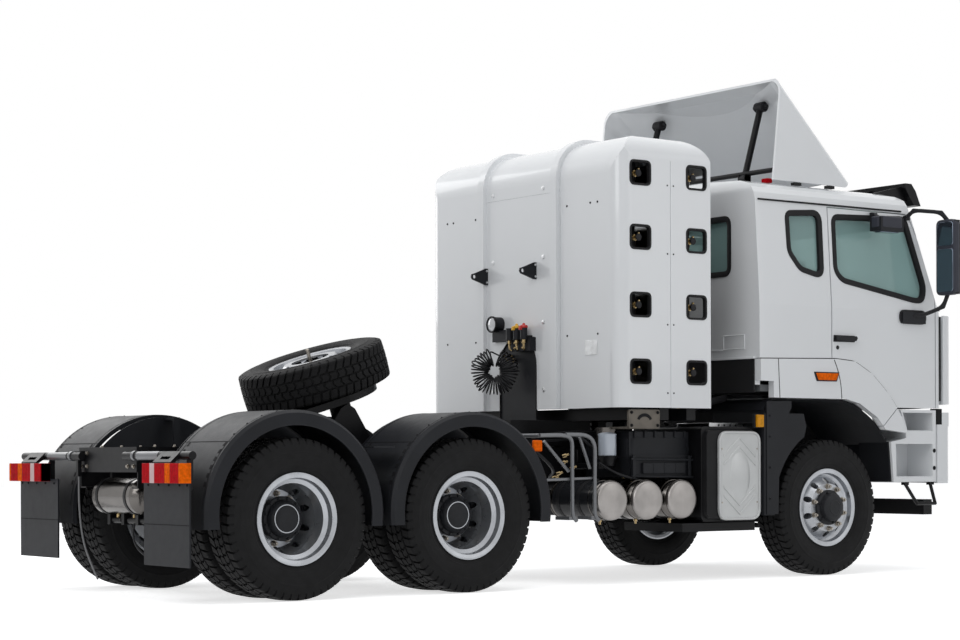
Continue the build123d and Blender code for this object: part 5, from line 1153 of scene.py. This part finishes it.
for hand, side in SIDES:
    plan = np.vstack((eased(WING_OUTSIDE, 0.03), eased(WING_INSIDE, 0.03))) * (1, side)
    wing = prism(plan, "z", 1.372, 2.105)
    joined(f"corner_wing_{hand}", cab_paint, [wing], bevel=0.006, body="cab")
    treads = []
    for x0, x1, z in ((0.838, 1.126, 1.15), (0.708, 1.126, 0.775)):
        for x in np.arange(x0, x1, TREAD_PITCH):
            treads.append(box(FRONT_X + x, FRONT_X + x + TREAD_WIDTH, side * 0.985, side * 1.232, z - 0.002,
                z + 0.007))
    treads.append(block(side, 1.245, 1.326, 1.13, 1.236, 1.19, 1.305))
    joined(f"step_treads_{hand}", cab_paint, treads, bevel=0.0015)
    holes = [turned(((-0.002, 0.0175), (0.0022, 0.017), (0.0024, 0.001)), (FRONT_X + 1.15, side * 1.235, z),
        (0, side, 0), 20) for z in (0.848, 0.99)]
    holes.append(block(side, 1.186, 1.245, 1.16, 1.234, 1.206, 1.335))
    joined(f"step_holes_{hand}", gap_black, holes)

# ------------------------ lower back of the cab
# A black sound shield hangs under the back wall's bottom flange, and a pressed rectangle stiffens
# each lower corner of the wall.
BACK_X = FRONT_X - 0.83
joined("sound_shield", window_rubber,
    [box(BACK_X - 0.012, BACK_X + 0.001, -1.19, 1.19, 1.44, 1.7)], bevel=0.002, body="cab")
pressed = [box(BACK_X - 0.018, BACK_X + 0.001, -1.195, 1.195, 1.7, 1.716)]
for side in (-1, 1):
    for y0, y1, z0, z1 in ((0.836, 1.08, 1.884, 1.892), (0.836, 1.08, 1.779, 1.787),
                           (0.836, 0.844, 1.787, 1.884), (1.072, 1.08, 1.787, 1.884)):
        pressed.append(box(BACK_X - 0.006, BACK_X + 0.001, side * y0, side * y1, z0, z1))
    pressed.append(box(BACK_X - 0.005, BACK_X + 0.001, side * 0.02, side * 0.83, 1.776, 1.782))
joined("back_pressings", cab_paint, pressed, bevel=0.002, body="cab")

# ------------------------ cross box and guard lamps
# A dark bolted box closes the gap between the rails under the rack. An amber lamp stands beside
# the first tank's guard pipes on each side, on a bent black arm.
cross = [box(-0.43, 0.34, -0.43, 0.43, 1.03, 1.225)]
cross += each(bolt, [(-0.43, y, 1.1) for y in (-0.3, -0.1, 0.1, 0.3)], BACK, 0.02)
joined("cross_box", chassis_paint, cross, bevel=0.012)
for hand, side in SIDES:
    joined(f"guard_lamp_{hand}", amber_lens,
        [box(-0.813, -0.737, side * 1.178, side * 1.206, 0.985, 1.065)], bevel=0.008)
    joined(f"guard_lamp_arm_{hand}", satin_black,
        [box(-0.79, -0.762, side * 0.62, side * 1.18, 1.036, 1.044),
        box(-0.79, -0.762, side * 1.17, side * 1.178, 0.995, 1.044)], bevel=0.002)

# ------------------------ deflector struts and spare wheel stud
# Pinned knuckles end each deflector strut, a small red lamp sits on the roof beside one, and a
# threaded stud with a round plate and a nut holds the spare wheel down.
knuckles = []
for side in (-1, 1):
    head = (FRONT_X - 0.212, side * 0.62, 3.768)
    foot = (FRONT_X - 0.405, side * 0.63, 3.172)
    knuckles.append(turned(((-0.048, 0.036), (-0.044, 0.042), (0.044, 0.042), (0.048, 0.036)), head, LEFT,
        24))
    knuckles += [rod(-0.075, 0.075, 0.018, head, LEFT), rod(-0.04, 0.04, 0.036, foot, LEFT, 24)]
joined("strut_knuckles", satin_black, knuckles, bevel=0.002, body="cab")
joined("roof_lamp", red_lens, [block(1, -0.355, -0.295, -0.84, -0.77, 3.128, 3.165)],
    bevel=0.008, body="cab")
stud = [turned(((-0.12, 0.013), (0.195, 0.013), (0.2, 0.008)), SPARE_CENTRE, PLATE_UP, 16),
    rod(0.06, 0.072, 0.075, SPARE_CENTRE, PLATE_UP, 32)]
stud += bolt(SPARE_CENTRE + PLATE_UP * 0.072, PLATE_UP, 0.044, 0.024)
joined("spare_stud", nut_steel, stud, bevel=0.002, body="spare_wheel")
